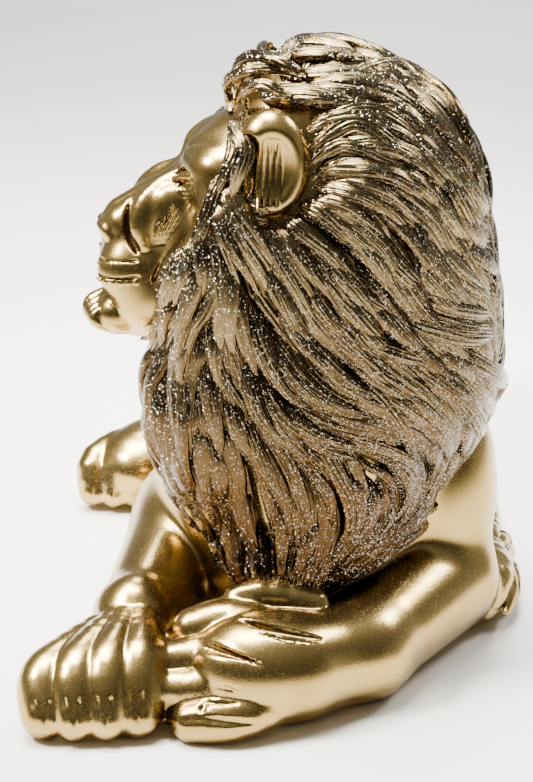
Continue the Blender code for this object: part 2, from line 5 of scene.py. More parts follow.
import bpy
import numpy as np
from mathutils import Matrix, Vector


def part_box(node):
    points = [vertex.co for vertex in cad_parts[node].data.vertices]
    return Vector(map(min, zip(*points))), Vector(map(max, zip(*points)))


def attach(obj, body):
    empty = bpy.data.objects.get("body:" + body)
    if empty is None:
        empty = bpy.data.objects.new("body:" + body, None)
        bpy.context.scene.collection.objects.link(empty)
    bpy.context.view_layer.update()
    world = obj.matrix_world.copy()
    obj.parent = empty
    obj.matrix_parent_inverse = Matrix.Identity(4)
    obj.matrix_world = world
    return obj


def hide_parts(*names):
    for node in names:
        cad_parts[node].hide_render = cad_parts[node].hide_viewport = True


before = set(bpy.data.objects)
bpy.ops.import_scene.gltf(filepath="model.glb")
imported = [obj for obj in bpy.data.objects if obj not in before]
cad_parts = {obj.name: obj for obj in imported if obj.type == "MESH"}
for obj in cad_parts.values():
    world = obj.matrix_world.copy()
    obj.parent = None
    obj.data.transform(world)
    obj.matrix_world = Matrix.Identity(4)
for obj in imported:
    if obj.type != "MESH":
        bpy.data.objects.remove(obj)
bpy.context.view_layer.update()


# The view
# The photograph was taken from the chest's side, 22 degrees above level, about 0.8 m away,
# with a long lens. The camera aims at a point over the left elbow.
VIEW_HEIGHT = 22.0           # degrees above level
VIEW_DISTANCE = 0.800        # metres to the point aimed at
VIEW_LENS = 127.98           # mm, on a frame of this width
VIEW_FRAME = 36.0
SCULPT_HEIGHT = 186.7        # the solid's height in the sculptor's units, each about 1 mm
SCULPT_MIDDLE = np.array([3.93, 5.12, 0.0])      # middle of the footprint in those units
VIEW_TARGET = (0.0, -80.0, 88.0)                 # in those units too
UNITS_A_METRE = 1000.0

box_low, box_high = (np.array(corner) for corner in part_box("lion"))
UNIT = (box_high[2] - box_low[2]) / SCULPT_HEIGHT
PLAN_MIDDLE = np.array([(box_low[0] + box_high[0]) / 2, (box_low[1] + box_high[1]) / 2, box_low[2]])


def to_world(points):
    """Sculptor's units to metres: scaled, and centred on the footprint of the solid."""
    return (np.asarray(points, float) - SCULPT_MIDDLE) * UNIT + PLAN_MIDDLE


def aim(thing, place, target):
    """Stand a camera or light at a place and turn it to look at a target."""
    thing.location = Vector(place)
    thing.rotation_euler = (Vector(place) - Vector(target)).to_track_quat("Z", "Y").to_euler()


lens = bpy.data.cameras.new("camera")
lens.sensor_width = VIEW_FRAME
lens.lens = VIEW_LENS
lens.clip_start = 0.05
camera = bpy.data.objects.new("camera", lens)
bpy.context.collection.objects.link(camera)
bpy.context.scene.camera = camera
look_at = to_world(VIEW_TARGET)
tilt = math.radians(VIEW_HEIGHT)
aim(camera, look_at + VIEW_DISTANCE * np.array([0, -math.cos(tilt), math.sin(tilt)]), look_at)


# Light and floor
# A pale table in a dark studio with a pale ceiling and white screens low round the back and
# sides. Broad soft boxes hang overhead and behind, and small ones stand to the right and
# left, so the gold mirrors white along its edges, pale table underneath, and darkness
# where it faces the camera.
SCREEN_WHITE = "F6F4F0"
TABLE_PALE = "D6D4D0"
TABLE_SIZE = 6.0             # metres across, so that its edge never shows
TABLE_GAP = 0.0002           # metres below the figure, so that the two don't touch
STUDIO_DARK = 0.06           # strength of the unlit room
CEILING_LIGHT = 0.34         # of its pale ceiling
SCREEN_LIGHT = 0.48          # and of the screens
SOFT_BOXES = (               # place and target, metres across, watts, spread and colour
    ("overhead box", (-0.12, 0.10, 0.72), (0.0, 0.06, 0.0), 0.56, 7.0, 50.0, "FFFDF8"),
    ("back box", (0.10, 0.85, 0.95), (0.0, 0.50, 0.0), 0.50, 6.5, 80.0, "FFFFFF"),
    ("right box", (0.62, 0.28, 0.62), (0.03, -0.05, 0.06), 0.22, 1.1, 70.0, "FFFDF8"),
    ("left box", (-0.60, -0.20, 0.80), (0.0, -0.05, 0.08), 0.22, 5.0, 70.0, "FFF6E8"),
)


def linear(code, alpha=1.0):
    """An sRGB hex colour as linear red, green, blue and alpha."""
    parts = [int(code[i:i + 2], 16) / 255 for i in (0, 2, 4)]
    low = [c / 12.92 if c <= 0.04045 else ((c + 0.055) / 1.055) ** 2.4 for c in parts]
    return (*low, alpha)


def add_node(tree, kind, inputs=None, **settings):
    """Add a node, set its properties, and set or link its inputs by name or number."""
    node = tree.nodes.new(kind)
    for key, value in settings.items():
        setattr(node, key, value)
    for key, value in (inputs or {}).items():
        if isinstance(value, bpy.types.NodeSocket):
            tree.links.new(value, node.inputs[key])
        else:
            node.inputs[key].default_value = value
    return node


def ranged(tree, value, low, high, start=0.0, end=1.0, way="SMOOTHSTEP"):
    """The value's range from low to high mapped onto start to end."""
    return add_node(tree, "ShaderNodeMapRange", {"Value": value, "From Min": low, "From Max": high,
                    "To Min": start, "To Max": end}, interpolation_type=way).outputs["Result"]


def maths(tree, operation, *values):
    """One step of arithmetic on numbers or sockets."""
    return add_node(tree, "ShaderNodeMath", dict(enumerate(values)), operation=operation).outputs[0]


def soft_light(name, place, target, size, watts, spread, code):
    """A square soft box; its louvres keep the light within an angle, in degrees."""
    light = bpy.data.lights.new(name, "AREA")
    light.shape = "SQUARE"
    light.size = size
    light.energy = watts
    light.spread = math.radians(spread)
    light.color = linear(code)[:3]
    lamp = bpy.data.objects.new(name, light)
    bpy.context.collection.objects.link(lamp)
    aim(lamp, place, target)


def studio():
    """White screens low round the back and sides of a dark room with a pale ceiling."""
    world = bpy.data.worlds.new("studio")
    bpy.context.scene.world = world
    world.use_nodes = True
    tree = world.node_tree
    tree.nodes.clear()
    way = add_node(tree, "ShaderNodeTexCoord").outputs["Generated"]
    split = add_node(tree, "ShaderNodeSeparateXYZ", {0: way}).outputs
    low = ranged(tree, maths(tree, "ABSOLUTE", split["Z"]), 0.16, 0.52, 1.0, 0.0)
    aside = ranged(tree, split["Y"], -0.62, -0.08)
    ceiling = ranged(tree, split["Z"], 0.25, 0.75, STUDIO_DARK, CEILING_LIGHT, "LINEAR")
    strength = ranged(tree, maths(tree, "MULTIPLY", low, aside), 0.0, 1.0, ceiling, SCREEN_LIGHT,
                      "LINEAR")
    shade = add_node(tree, "ShaderNodeBackground", {"Color": linear(SCREEN_WHITE),
                     "Strength": strength})
    add_node(tree, "ShaderNodeOutputWorld", {"Surface": shade.outputs["Background"]})


studio()
for box in SOFT_BOXES:
    soft_light(*box)

table_mesh = bpy.data.meshes.new("table")
half = TABLE_SIZE / 2
corners = [(-half, -half, 0), (half, -half, 0), (half, half, 0), (-half, half, 0)]
table_mesh.from_pydata(corners, [], [(0, 1, 2, 3)])
table = bpy.data.objects.new("table", table_mesh)
table.location.z = float(box_low[2]) - TABLE_GAP
bpy.context.collection.objects.link(table)
laminate = bpy.data.materials.new("pale laminate")
laminate.use_nodes = True
table_top = laminate.node_tree.nodes["Principled BSDF"].inputs
table_top["Base Color"].default_value = linear(TABLE_PALE)
table_top["Roughness"].default_value = 0.6
table_mesh.materials.append(laminate)


# The body, legs and tail
# One hollow casting of polyester resin, poured in a rubber mould and sprayed with
# champagne gold lacquer, so nothing is joined on and every hollow is softly filleted.
# Its skin has no regular cross-section to sweep, so it is the zero surface of one
# distance field, as in the solid, read on a finer grid and settled onto the true form.
BODY_STEP = 0.78             # grid spacing, in units
BODY_TRIANGLES = 120000      # what is left after thinning
FACE_Y = -65.0               # the head's plane of symmetry
TAIL_RADIUS = 5.6
TUFT_RADIUS = 9.0
TOES = 4
TOE_RADIUS = 7.5
PAW_FOLDS = (                # points and radii of grooves in the left paw, and their rounding
    ([(-8, -113.4, 31.8), (-2, -116.5, 30.6), (6.5, -118.0, 29.4), (15.6, -117.2, 27)],
     [0.5, 1.3, 1.2, 0.3], 0.9),
    ([(-3, -119.5, 30.0), (6.6, -120.4, 28.4), (14, -119.0, 26.6)], [0.2, 0.7, 0.2], 0.6),
    ([(-22, -115.0, 25.6), (-16, -119.4, 25.6), (-10, -123.2, 25.2), (-1.3, -126.4, 23.9)],
     [0.8, 1.3, 0.9, 0.2], 1.2),
    ([(-17.7, -125.6, 15.6), (-12.5, -127.2, 17.0), (-8.0, -128.4, 16.3)], [0.2, 0.6, 0.2], 0.6),
    ([(-18.5, -126.4, 13.6), (-13.0, -128.0, 14.4), (-7.4, -128.8, 14.4)], [0.2, 0.6, 0.2], 0.6),
    ([(-17.6, -127.6, 12.2), (-12.5, -128.6, 12.6), (-8.0, -129.4, 12.9)], [0.2, 0.5, 0.2], 0.6),
    ([(-18.2, -130.0, 11.5), (-18.0, -129.0, 11.6)], [0.9, 0.6], 0.3),
    ([(-24.1, -130.4, 8.3), (-17.3, -132.4, 9.7), (-8.8, -133.0, 8.8), (-1.0, -130.7, 7.1)],
     [0.3, 1.1, 1.2, 0.2], 0.8),
    ([(-12.5, -133.0, 6.8), (-6.0, -132.8, 6.6), (0.5, -130.0, 6.6)], [0.2, 0.6, 0.2], 0.5),
)
REAL = np.float32            # fields are read in single precision, which saves time
THREADS = 4


def melt(a, b, soft):
    """Union of two fields, with a fillet of the given size."""
    share = np.clip(0.5 + 0.5 * (b - a) / soft, 0, 1)
    return b + (a - b) * share - soft * share * (1 - share)


def carve(a, b, soft):
    """Field a with b taken away, with a rounded edge."""
    return -melt(-a, b, soft)


def turned(degrees_x, degrees_y, degrees_z):
    """Rotation matrix for turns about X, then Y, then Z."""
    cx, cy, cz = (math.cos(math.radians(d)) for d in (degrees_x, degrees_y, degrees_z))
    sx, sy, sz = (math.sin(math.radians(d)) for d in (degrees_x, degrees_y, degrees_z))
    about_x = np.array([[1, 0, 0], [0, cx, -sx], [0, sx, cx]])
    about_y = np.array([[cy, 0, sy], [0, 1, 0], [-sy, 0, cy]])
    about_z = np.array([[cz, -sz, 0], [sz, cz, 0], [0, 0, 1]])
    return (about_z @ about_y @ about_x).astype(REAL)


def egg(p, centre, radii, turn=None):
    """Ellipsoid: k(k - 1)/s, where k is the point's distance in radii and s how k grows."""
    q = p - np.array(centre, REAL)
    if turn is not None:
        q = q @ turned(*turn)
    radii = np.array(radii, REAL)
    near = np.sqrt(((q / radii) ** 2).sum(1))
    steep = np.sqrt(((q / radii ** 2) ** 2).sum(1))
    return near * (near - 1) / np.maximum(steep, 1e-6)


def eggs(p, field, *rows):
    """Eggs melted onto a field in turn: each one's centre and radii, and the fillet."""
    for centre, radii, soft in rows:
        field = melt(field, egg(p, centre, radii), soft)
    return field


def bone(p, start, end, start_radius, end_radius):
    """Tapered rod: distance to the nearest place on a line, less the radius there."""
    start, end = np.array(start, REAL), np.array(end, REAL)
    run = end - start
    share = np.clip(((p - start) @ run) / (run @ run), 0, 1)
    off = p - start - share[:, None] * run
    return np.sqrt((off ** 2).sum(1)) - (start_radius + (end_radius - start_radius) * share)


def smooth_curve(points, count):
    """Catmull-Rom curve through the points, read at count even places."""
    p = np.array(points, float)
    p = np.vstack([2 * p[0] - p[1], p, 2 * p[-1] - p[-2]])
    place = np.linspace(0, len(p) - 3, count)
    i = np.minimum(place.astype(int), len(p) - 4)
    u = (place - i)[:, None]
    a, b, c, d = p[i], p[i + 1], p[i + 2], p[i + 3]
    return 0.5 * (2 * b + (c - a) * u + (2 * a - 5 * b + 4 * c - d) * u ** 2
                  + (3 * b - a - 3 * c + d) * u ** 3)


def rope(p, points, radii, count=12, soft=1.0):
    """A chain of short tapered rods along a smooth curve."""
    line = smooth_curve([tuple(q) + (r,) for q, r in zip(points, radii)], count)
    field = None
    for a, b in zip(line[:-1], line[1:]):
        piece = bone(p, a[:3], b[:3], a[3], b[3])
        field = piece if field is None else melt(field, piece, soft)
    return field


def rise(value, low, high):
    """0 below low, 1 above high, and a smooth rise between."""
    t = np.clip((value - low) / (high - low), 0, 1)
    return t * t * (3 - 2 * t)


def inside(low, high, p, field, change):
    """The field with a change made to it inside a box alone, which saves time."""
    here = ((p > np.array(low, REAL)) & (p < np.array(high, REAL))).all(1)
    if here.any():
        field[here] = change(field[here], p[here])
    return field


def trunk(p):
    """Chest, barrel, loin and rump, with the brisket between the forelegs."""
    chest = egg(p, (12, -38, 58), (42, 54, 56))
    return eggs(p, chest, ((13, 28, 44), (38, 64, 51), 14), ((14, 58, 66), (27, 52, 37), 12),
                ((15, 90, 54), (37, 38, 46), 14), ((9, -57, 25), (27, 29, 35), 8))


def haunch(p, side):
    """Folded thigh and shank; side is -1 for the lion's right, 1 for its left."""
    x = 15 + side * 30
    thigh = egg(p, (x, 74, 42), (18, 43, 36), (20, 0, side * -4))
    shank = bone(p, (x + side * 5, 38, 25), (x + side * 5, 106, 19), 17, 10)
    return melt(thigh, shank, 7)


def hind_foot(p, hock, toe):
    """Long hind foot flat on the ground, from the hock to its toes, with claws."""
    lean = (toe[0] - hock[0]) / (hock[1] - toe[1])
    field = bone(p, (*hock, 12.5), (toe[0] - lean * 24, toe[1] + 26, 12.5), 11, 12)
    field = melt(field, egg(p, (toe[0] - lean * 12, toe[1] + 17, 12), (15, 16, 13)), 5)
    spread = 28.0 / TOES
    for i in range(TOES):
        out = (i - (TOES - 1) / 2) * spread
        x, y = toe[0] + out, toe[1] + 6 + abs(out) * 0.25
        knuckle = (toe[0] + out * 0.8 - lean * 12, y + 13, 16.5)
        line = [knuckle, (x, y + 5, 13.5), (x + lean * 1.5, y, 6)]
        field = melt(field, rope(p, line, [5.6, 5.9, 5.2], 6), 1.4)
        field = carve(field, bone(p, (x, y - 5.4, 8.2), (x, y - 6.2, 3.6), 0.9, 0.5), 0.8)
    return field


def right_foreleg(p):
    """Foreleg stretched forward, its toes side by side, each slit for a claw."""
    field = bone(p, (-6, -50, 56), (-20, -28, 28), 22, 18)
    field = melt(field, bone(p, (-24, -30, 21), (-38.5, -84, 17.5), 18.5, 11.5), 9)
    field = eggs(p, field, ((-39, -86, 18.5), (11.5, 12, 11.5), 5),
                 ((-46, -108, 12), (18, 18, 12), 8), ((-38, -86, 26.5), (6.5, 6, 4.5), 3))
    for i in range(TOES):
        out = (i - (TOES - 1) / 2) * 26.4 / (TOES - 1)
        drop = 0.26 * max(-out, 0)
        x = -50.0 + out
        y = -126.6 + 0.011 * out * out + 0.02 * out
        root = (-41.5 + out * 0.36, -92, 21.8 - drop * 0.6)
        line = [root, (-47 + out * 0.84, -110, 20.9 - drop), (x, y + 7, 16.6 - drop * 0.7),
                (x, y + 0.4, 6.7)]
        radii = [TOE_RADIUS * 0.58, TOE_RADIUS * 0.82, TOE_RADIUS * 0.98, TOE_RADIUS * 0.90]
        field = melt(field, rope(p, line, radii, 12), 0.8)
        for aside in (-2.4, 1.4):
            slit = [(x + aside, y - 2.0, 15.0 - drop * 0.5), (x + aside * 1.05, y - 6.0, 10.5),
                    (x + aside, y - 6.6, 5.0)]
            field = carve(field, rope(p, slit, [0.2, 0.8, 0.3], 6, 0.4), 0.6)
    inner_edge = [(-33, -93, 20), (-30.5, -106, 18.5), (-29.5, -116, 13), (-29.5, -119, 6)]
    return melt(field, rope(p, inner_edge, [2.6, 3.2, 3.8, 4.2], 10), 1.0)


def left_foreleg(p):
    """Foreleg folded across the chest, its paw on edge against the right one."""
    field = egg(p, (51, -47, 39), (19, 22, 38), (0, 5, 0))
    field = melt(field, bone(p, (53.5, -56, 17), (28, -97, 13.5), 17.5, 14), 6)
    field = melt(field, bone(p, (28, -97, 13.5), (10, -109, 14.5), 14, 15.5), 6)
    field = melt(field, egg(p, (-3, -112.5, 15.5), (20, 16.5, 16.5)), 7)
    for i in range(TOES):
        up = i / (TOES - 1)
        x, y, z = -21 - 9.6 * up * (1 - up), -125.5 + 20.5 * up, 6.3 + 19 * up
        line = [(9, -110 + (y + 110) * 0.5, 15 + (z - 15) * 0.5), (x + 13, y, z + 1.0),
                (x, y, z - 1.0)]
        radii = [TOE_RADIUS * r for r in (0.8, 0.93, 0.84)]
        field = melt(field, rope(p, line, radii, 8), 0.9)
    dewclaw = [(14, -98, 29), (0, -99, 32.5), (-9, -101, 32)]
    field = melt(field, rope(p, dewclaw, [4.2, 4.6, 3.6], 6), 1.5)
    return paw_lines(field, p)


def paw_lines(field, p):
    """Folds across the left paw: round the dewclaw, between the toes and by the pads."""
    for points, radii, soft in PAW_FOLDS:
        field = carve(field, rope(p, points, radii, 12, 0.3), soft)
    return field


def tail(p):
    """Tail from the rump, round the left hind foot and forward, with its tuft."""
    r, t = TAIL_RADIUS, TUFT_RADIUS
    points = [(15, 112, 70), (17, 127, 56), (27, 135, 34), (46, 129, 15), (62, 110, r + 2.6),
              (69, 80, r + 0.8), (71, 40, r), (71, 0, r), (70, -20, r + 0.6)]
    radii = [r + 3.6, r + 3.6, r + 2.6, r + 2, r + 1.3, r + 0.8, r + 0.2, r, r]
    field = rope(p, points, radii, 40)
    tuft = [(70, -10, r + 1), (69, -28, t), (68, -46, t + 1), (67, -58, t * 0.7)]
    return melt(field, rope(p, tuft, [r, t * 0.9, t * 0.95, t * 0.3], 10), 2)


def mirrored(p):
    """The same points folded onto one side of the head's plane of symmetry."""
    q = p.copy()
    q[:, 1] = np.abs(p[:, 1] - FACE_Y)
    return q


def rim_distance(p):
    """How far a point lies behind the slanting rim of the face, in units."""
    behind = (p[:, 0] + 14.5 + 0.42 * (161 - p[:, 2])) * 0.92
    return np.where(p[:, 2] < 104, behind + (104 - p[:, 2]) * 1.2, behind)


def mane_base(p):
    """The mane's mass under its locks, cut off along the rim of the face."""
    crown = egg(p, (18, -56, 135), (41, 38, 44.5))
    field = eggs(p, crown, ((22, -54, 94), (43, 42, 50), 16), ((-5, -70, 82), (27, 24, 36), 14))
    field = melt(field, bone(p, (13, -62, 70), (5, -84, 36), 30, 11), 12)
    field = melt(field, bone(p, (16, -32, 118), (15, -6, 86), 35, 31), 16)
    field = melt(field, egg(p, (9, -62, 166.5), (17, 22, 13)), 10)
    field = melt(field, egg(mirrored(p), (-6, 19, 122), (17, 10.5, 31), (0, 14, 0)), 7)
    return carve(field, rim_distance(p), 4)


def ear_rooms(p):
    """Clear space in the hair round each ear's opening."""
    return egg(mirrored(p), (-0.5, 36, 161.5), (8.5, 11, 13.6))


def body(p):
    """All of the figure but its head, cut flat where it stands."""
    field = trunk(p)
    for side in (-1, 1):
        field = melt(field, haunch(p, side), 9)
    limbs = (                # the box round each, how softly it joins, and its field
        ((-78, -2, -9), (10, 130, 42), 5, lambda q: hind_foot(q, (-17, 108), (-47, 25))),
        ((22, 5, -9), (88, 134, 42), 5, lambda q: hind_foot(q, (48, 112), (56, 34))),
        ((-86, -146, -9), (24, 5, 88), 6, right_foreleg),
        ((-46, -146, -9), (84, -8, 92), 6, left_foreleg),
        ((-2, 92, -9), (90, 156, 92), 2.5, tail),
        ((42, -76, -9), (90, 92, 38), 2.5, tail),
    )
    for low, high, soft, limb in limbs:
        field = inside(low, high, p, field, lambda f, q: melt(f, limb(q), soft))
    field = inside((-60, -130, 0), (90, 60, 200), p, field, mane_on)
    return np.maximum(field, -p[:, 2])


def mane_on(field, p):
    """The mane's mass on the body, cleared round the ears."""
    return carve(melt(field, mane_base(p), 6), ear_rooms(p), 3)


def in_parts(field, points, size=60000):
    """Read a field at many points, a part at a time, in several threads."""
    points = points.astype(REAL)
    parts = [points[i:i + size] for i in range(0, len(points), size)]
    with ThreadPoolExecutor(THREADS) as pool:
        return np.concatenate(list(pool.map(field, parts)))


def sample(field, low, high, step, block=4):
    """Field values on a grid: exact near the skin, read block by block far from it."""
    blocks = np.ceil((high - low) / (step * block)).astype(int)
    middles = [low[i] + step * block * (np.arange(blocks[i]) + 0.5) for i in range(3)]
    coarse = np.stack(np.meshgrid(*middles, indexing="ij"), -1).reshape(-1, 3)
    rough = in_parts(field, coarse).reshape(blocks)
    near = np.abs(rough) < step * block * 1.15
    grid = rough.repeat(block, 0).repeat(block, 1).repeat(block, 2)
    marked = np.argwhere(near.repeat(block, 0).repeat(block, 1).repeat(block, 2))
    grid[tuple(marked.T)] = in_parts(field, low + marked * step)
    return grid


def net(grid, low, step):
    """Surface nets: one point in each cell that the skin crosses, joined by quads."""
    within = grid < 0
    shape = np.array(grid.shape) - 1
    offsets = [(i, j, k) for i in (0, 1) for j in (0, 1) for k in (0, 1)]
    count = sum(within[i:i + shape[0], j:j + shape[1], k:k + shape[2]].astype(np.int8)
                for i, j, k in offsets)
    crossed = (count > 0) & (count < len(offsets))
    cells = np.argwhere(crossed)
    number = np.full(crossed.shape, -1)
    number[crossed] = np.arange(len(cells))
    total, hits = np.zeros((len(cells), 3)), np.zeros(len(cells))
    for corner in offsets:
        for axis in range(3):
            if corner[axis] == 0:
                end = list(corner)
                end[axis] = 1
                a, b = (grid[tuple((cells + c).T)] for c in (corner, end))
                crosses = (a < 0) != (b < 0)
                place = np.array(corner, float) + np.zeros((len(cells), 3))
                place[:, axis] += np.where(crosses, a / np.where(crosses, a - b, 1), 0)
                total += place * crosses[:, None]
                hits += crosses
    quads = []
    for axis in range(3):
        u, v = (i for i in range(3) if i != axis)
        start, end = [slice(None)] * 3, [slice(None)] * 3
        start[axis], end[axis] = slice(0, -1), slice(1, None)
        edge = np.argwhere(within[tuple(start)] != within[tuple(end)])
        ring = []
        for du, dv in ((1, 1), (0, 1), (0, 0), (1, 0)):
            cell = edge.copy()
            cell[:, u] -= du
            cell[:, v] -= dv
            ring.append(number[tuple(cell.T)])
        quad = np.stack(ring, 1)
        forward = within[tuple(edge.T)] == (axis != 1)
        quad[~forward] = quad[~forward][:, ::-1]
        quads.append(quad)
    return low + step * (cells + total / hits[:, None]), np.concatenate(quads)


def slope(field, points, reach):
    """Unit outward normals of a field, from four samples round each point."""
    corners = np.array([[1, -1, -1], [-1, -1, 1], [-1, 1, -1], [1, 1, 1]], REAL)
    way = sum(in_parts(field, points + reach * c)[:, None] * c for c in corners)
    return way / np.maximum(np.linalg.norm(way, axis=1, keepdims=True), 1e-9)


def raw_mesh(name, points, faces):
    """A mesh from an array of points and arrays of faces with equal corners."""
    mesh = bpy.data.meshes.new(name)
    corners = np.concatenate([f.ravel() for f in faces]).astype(np.int32)
    sizes = np.concatenate([np.full(len(f), f.shape[1], np.int32) for f in faces])
    mesh.vertices.add(len(points))
    mesh.vertices.foreach_set("co", np.asarray(points, REAL).ravel())
    mesh.loops.add(len(corners))
    mesh.loops.foreach_set("vertex_index", corners)
    mesh.polygons.add(len(sizes))
    starts = np.concatenate([[0], np.cumsum(sizes)[:-1]]).astype(np.int32)
    mesh.polygons.foreach_set("loop_start", starts)
    mesh.update(calc_edges=True)
    mesh.shade_smooth()
    return mesh


def point_array(mesh):
    """The mesh's points as an array."""
    flat = np.empty(len(mesh.vertices) * 3, REAL)
    mesh.vertices.foreach_get("co", flat)
    return flat.reshape(-1, 3)


def thinned(mesh, triangles):
    """The mesh with its facets joined where it is flattest, down to a number."""
    carrier = bpy.data.objects.new("carrier", mesh)
    bpy.context.collection.objects.link(carrier)
    thin = carrier.modifiers.new("thin", "DECIMATE")
    thin.ratio = min(1.0, triangles / (2 * len(mesh.polygons)))
    thin.use_collapse_triangulate = True
    view = bpy.context.evaluated_depsgraph_get()
    finished = bpy.data.meshes.new_from_object(carrier.evaluated_get(view))
    bpy.data.objects.remove(carrier)
    return finished


def set_tone(mesh, name, values):
    """Store one number for each point, for the material to read."""
    mesh.attributes.new(name, "FLOAT", "POINT").data.foreach_set("value", np.asarray(values, REAL))


def shelter(field, points, normals, reaches):
    """How closed in each point is, 0 to 1: how short the field falls of open air."""
    short = [1 - in_parts(field, points + normals * r) / r for r in reaches]
    return np.clip(np.mean(short, axis=0), 0, 1)


def finish_piece(mesh, name, material):
    """Bring a piece into the frame, give it its material, hang it from the root, and hide the solid's
    lion that it stands in for.
    """
    points = np.clip(to_world(point_array(mesh)), box_low, box_high)
    mesh.vertices.foreach_set("co", points.astype(REAL).ravel())
    mesh.materials.append(material)
    mesh.update()
    piece = bpy.data.objects.new(name, mesh)
    bpy.context.collection.objects.link(piece)
    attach(piece, "root")
    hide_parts("lion")


def skin(name, field, low, high, step, triangles, material):
    """Close a field's zero surface, thin it, settle it on the form and shade it."""
    points, quads = net(sample(field, low, high, step), low, step)
    mesh = thinned(raw_mesh(name, points, [quads]), triangles)
    points = point_array(mesh).astype(float)
    normals = slope(field, points, step * 0.4)
    for _ in range(2):
        points -= normals * np.clip(in_parts(field, points), -step, step)[:, None] * 0.9
    points[:, 2] = np.maximum(points[:, 2], 0)
    normals = slope(field, points, step * 0.6)
    mesh.vertices.foreach_set("co", points.astype(REAL).ravel())
    # How closed in each point is; the lacquer paints shade in brown there.
    set_tone(mesh, "shelter", shelter(field, points, normals, (2.0, 5.0)))
    finish_piece(mesh, name, material)
    mesh.normals_split_custom_set_from_vertices(normals)


GOLD_PALE = "C2A869"
GOLD_DEEP = "94793F"
PAINTED_SHADE_BROWN = "4E3A20"      # painted shade: brown mixed into the gold in hollows and creases
LACQUER_GRAIN = 0.00045      # metres: the size of the lacquer's metal grain
GRAIN_RELIEF = 0.00006       # metres: how far it stands out
DRIFTS = 55.0                # drifts of tone to the metre, so each is about 18 mm


def mixed(tree, share, first, second):
    """Two colours mixed: the first where the share is 0, the second where it is 1."""
    return add_node(tree, "ShaderNodeMix", {0: share, 6: first, 7: second},
                    data_type="RGBA").outputs[2]


def bare_material(name):
    """An empty material, its node tree, the place being shaded and how closed in that is."""
    material = bpy.data.materials.new(name)
    material.use_nodes = True
    tree = material.node_tree
    tree.nodes.clear()
    place = add_node(tree, "ShaderNodeTexCoord").outputs["Object"]
    closed = add_node(tree, "ShaderNodeAttribute", attribute_name="shelter").outputs["Fac"]
    return material, tree, place, closed


def drifting(tree, place, deep, pale):
    """A tone that drifts between a deep and a pale colour."""
    cloud = add_node(tree, "ShaderNodeTexNoise", {"Vector": place, "Scale": DRIFTS, "Detail": 3.0})
    return mixed(tree, cloud.outputs["Fac"], linear(deep), linear(pale))


def metal(tree, colour, rough, normal):
    """End a material in a bare metal shader."""
    shader = add_node(tree, "ShaderNodeBsdfPrincipled", {"Base Color": colour, "Roughness": rough,
                      "Normal": normal, "Metallic": 1.0})
    add_node(tree, "ShaderNodeOutputMaterial", {"Surface": shader.outputs["BSDF"]})


def gold_lacquer():
    """Champagne gold metallic lacquer: satin, a little mottled, with painted shade in brown in its
    hollows.
    """
    gold, tree, place, closed = bare_material("champagne gold lacquer")
    # Painted shade: brown mixed in where the skin is closed in, in the hollows and creases.
    hollow = ranged(tree, closed, 0.22, 0.80, 0.0, 0.92)
    tone = drifting(tree, place, GOLD_DEEP, GOLD_PALE)
    grain = add_node(tree, "ShaderNodeTexNoise", {"Vector": place, "Scale": 1 / LACQUER_GRAIN,
                     "Detail": 2.0}).outputs["Fac"]
    bump = add_node(tree, "ShaderNodeBump", {"Height": grain, "Strength": 0.5,
                    "Distance": GRAIN_RELIEF})
    metal(tree, mixed(tree, hollow, tone, linear(PAINTED_SHADE_BROWN)),
          ranged(tree, grain, 0.0, 1.0, 0.14, 0.34, "LINEAR"), bump.outputs["Normal"])
    return gold


lacquer = gold_lacquer()
skin("body", body, np.array([-74.0, -137.0, -3.0]), np.array([84.0, 148.0, 186.0]),
     BODY_STEP, BODY_TRIANGLES, lacquer)


# The head
# Part of the same casting. The face is the same on both sides of its middle plane: a
# bulging brow over a narrow eye, a straight bridge, full whisker pads with two rows of
# beads, lips that hang past the mouth, a curled chin tuft and hollowed round ears.
HEAD_STEP = 0.40
HEAD_TRIANGLES = 140000
EAR_HALF = 15.5              # half the ear's height
EAR_DEPTH = 8.5              # half the depth of the egg that hollows it
EYE_CREASES = 5
WHISKER_BEADS = 7            # in each row
CHEEK_STROKES = 6
CHIN_CURLS = 4               # on each side of the middle
EAR_RIDGES = 4


def skull(q):
    """Skull, brow, bridge, muzzle and jaw."""
    brain_case = egg(q, (-1, 0, 147), (22.5, 24, 22.5))
    field = eggs(q, brain_case, ((-15.2, 7.5, 155.0), (8.0, 8.0, 6.4), 6),
                 ((-12.0, 15.0, 154.8), (8.8, 7.6, 6.6), 4))
    bridge = np.minimum(bone(q, (-18, 3.6, 148), (-40.5, 3.4, 135.2), 7, 5.8),
                        bone(q, (-18, 0, 148.5), (-40.5, 0, 136), 6.6, 6))
    field = eggs(q, melt(field, bridge, 4), ((-29, 0, 124), (17, 14.5, 14.5), 7),
                 ((-38, 6.6, 122.5), (10.4, 9, 9.8), 3.2), ((-43.8, 0, 132.8), (4.2, 6.8, 4.8), 2.2),
                 ((-12, 13, 132), (15, 12.5, 17), 9), ((-8, 19, 141), (12, 7, 10), 8))
    jaw = bone(q, (-42.5, 0, 107.6), (-14, 7, 113), 7.2, 13.5)
    field = eggs(q, melt(field, jaw, 5), ((-34, 7.5, 115.0), (9.5, 8.6, 9.5), 4),
                 ((-45, 0, 107.6), (6.6, 7.4, 6), 2.5))
    return carve(field, egg(q, (-27.5, 21.0, 138.5), (8, 7.0, 9)), 7)


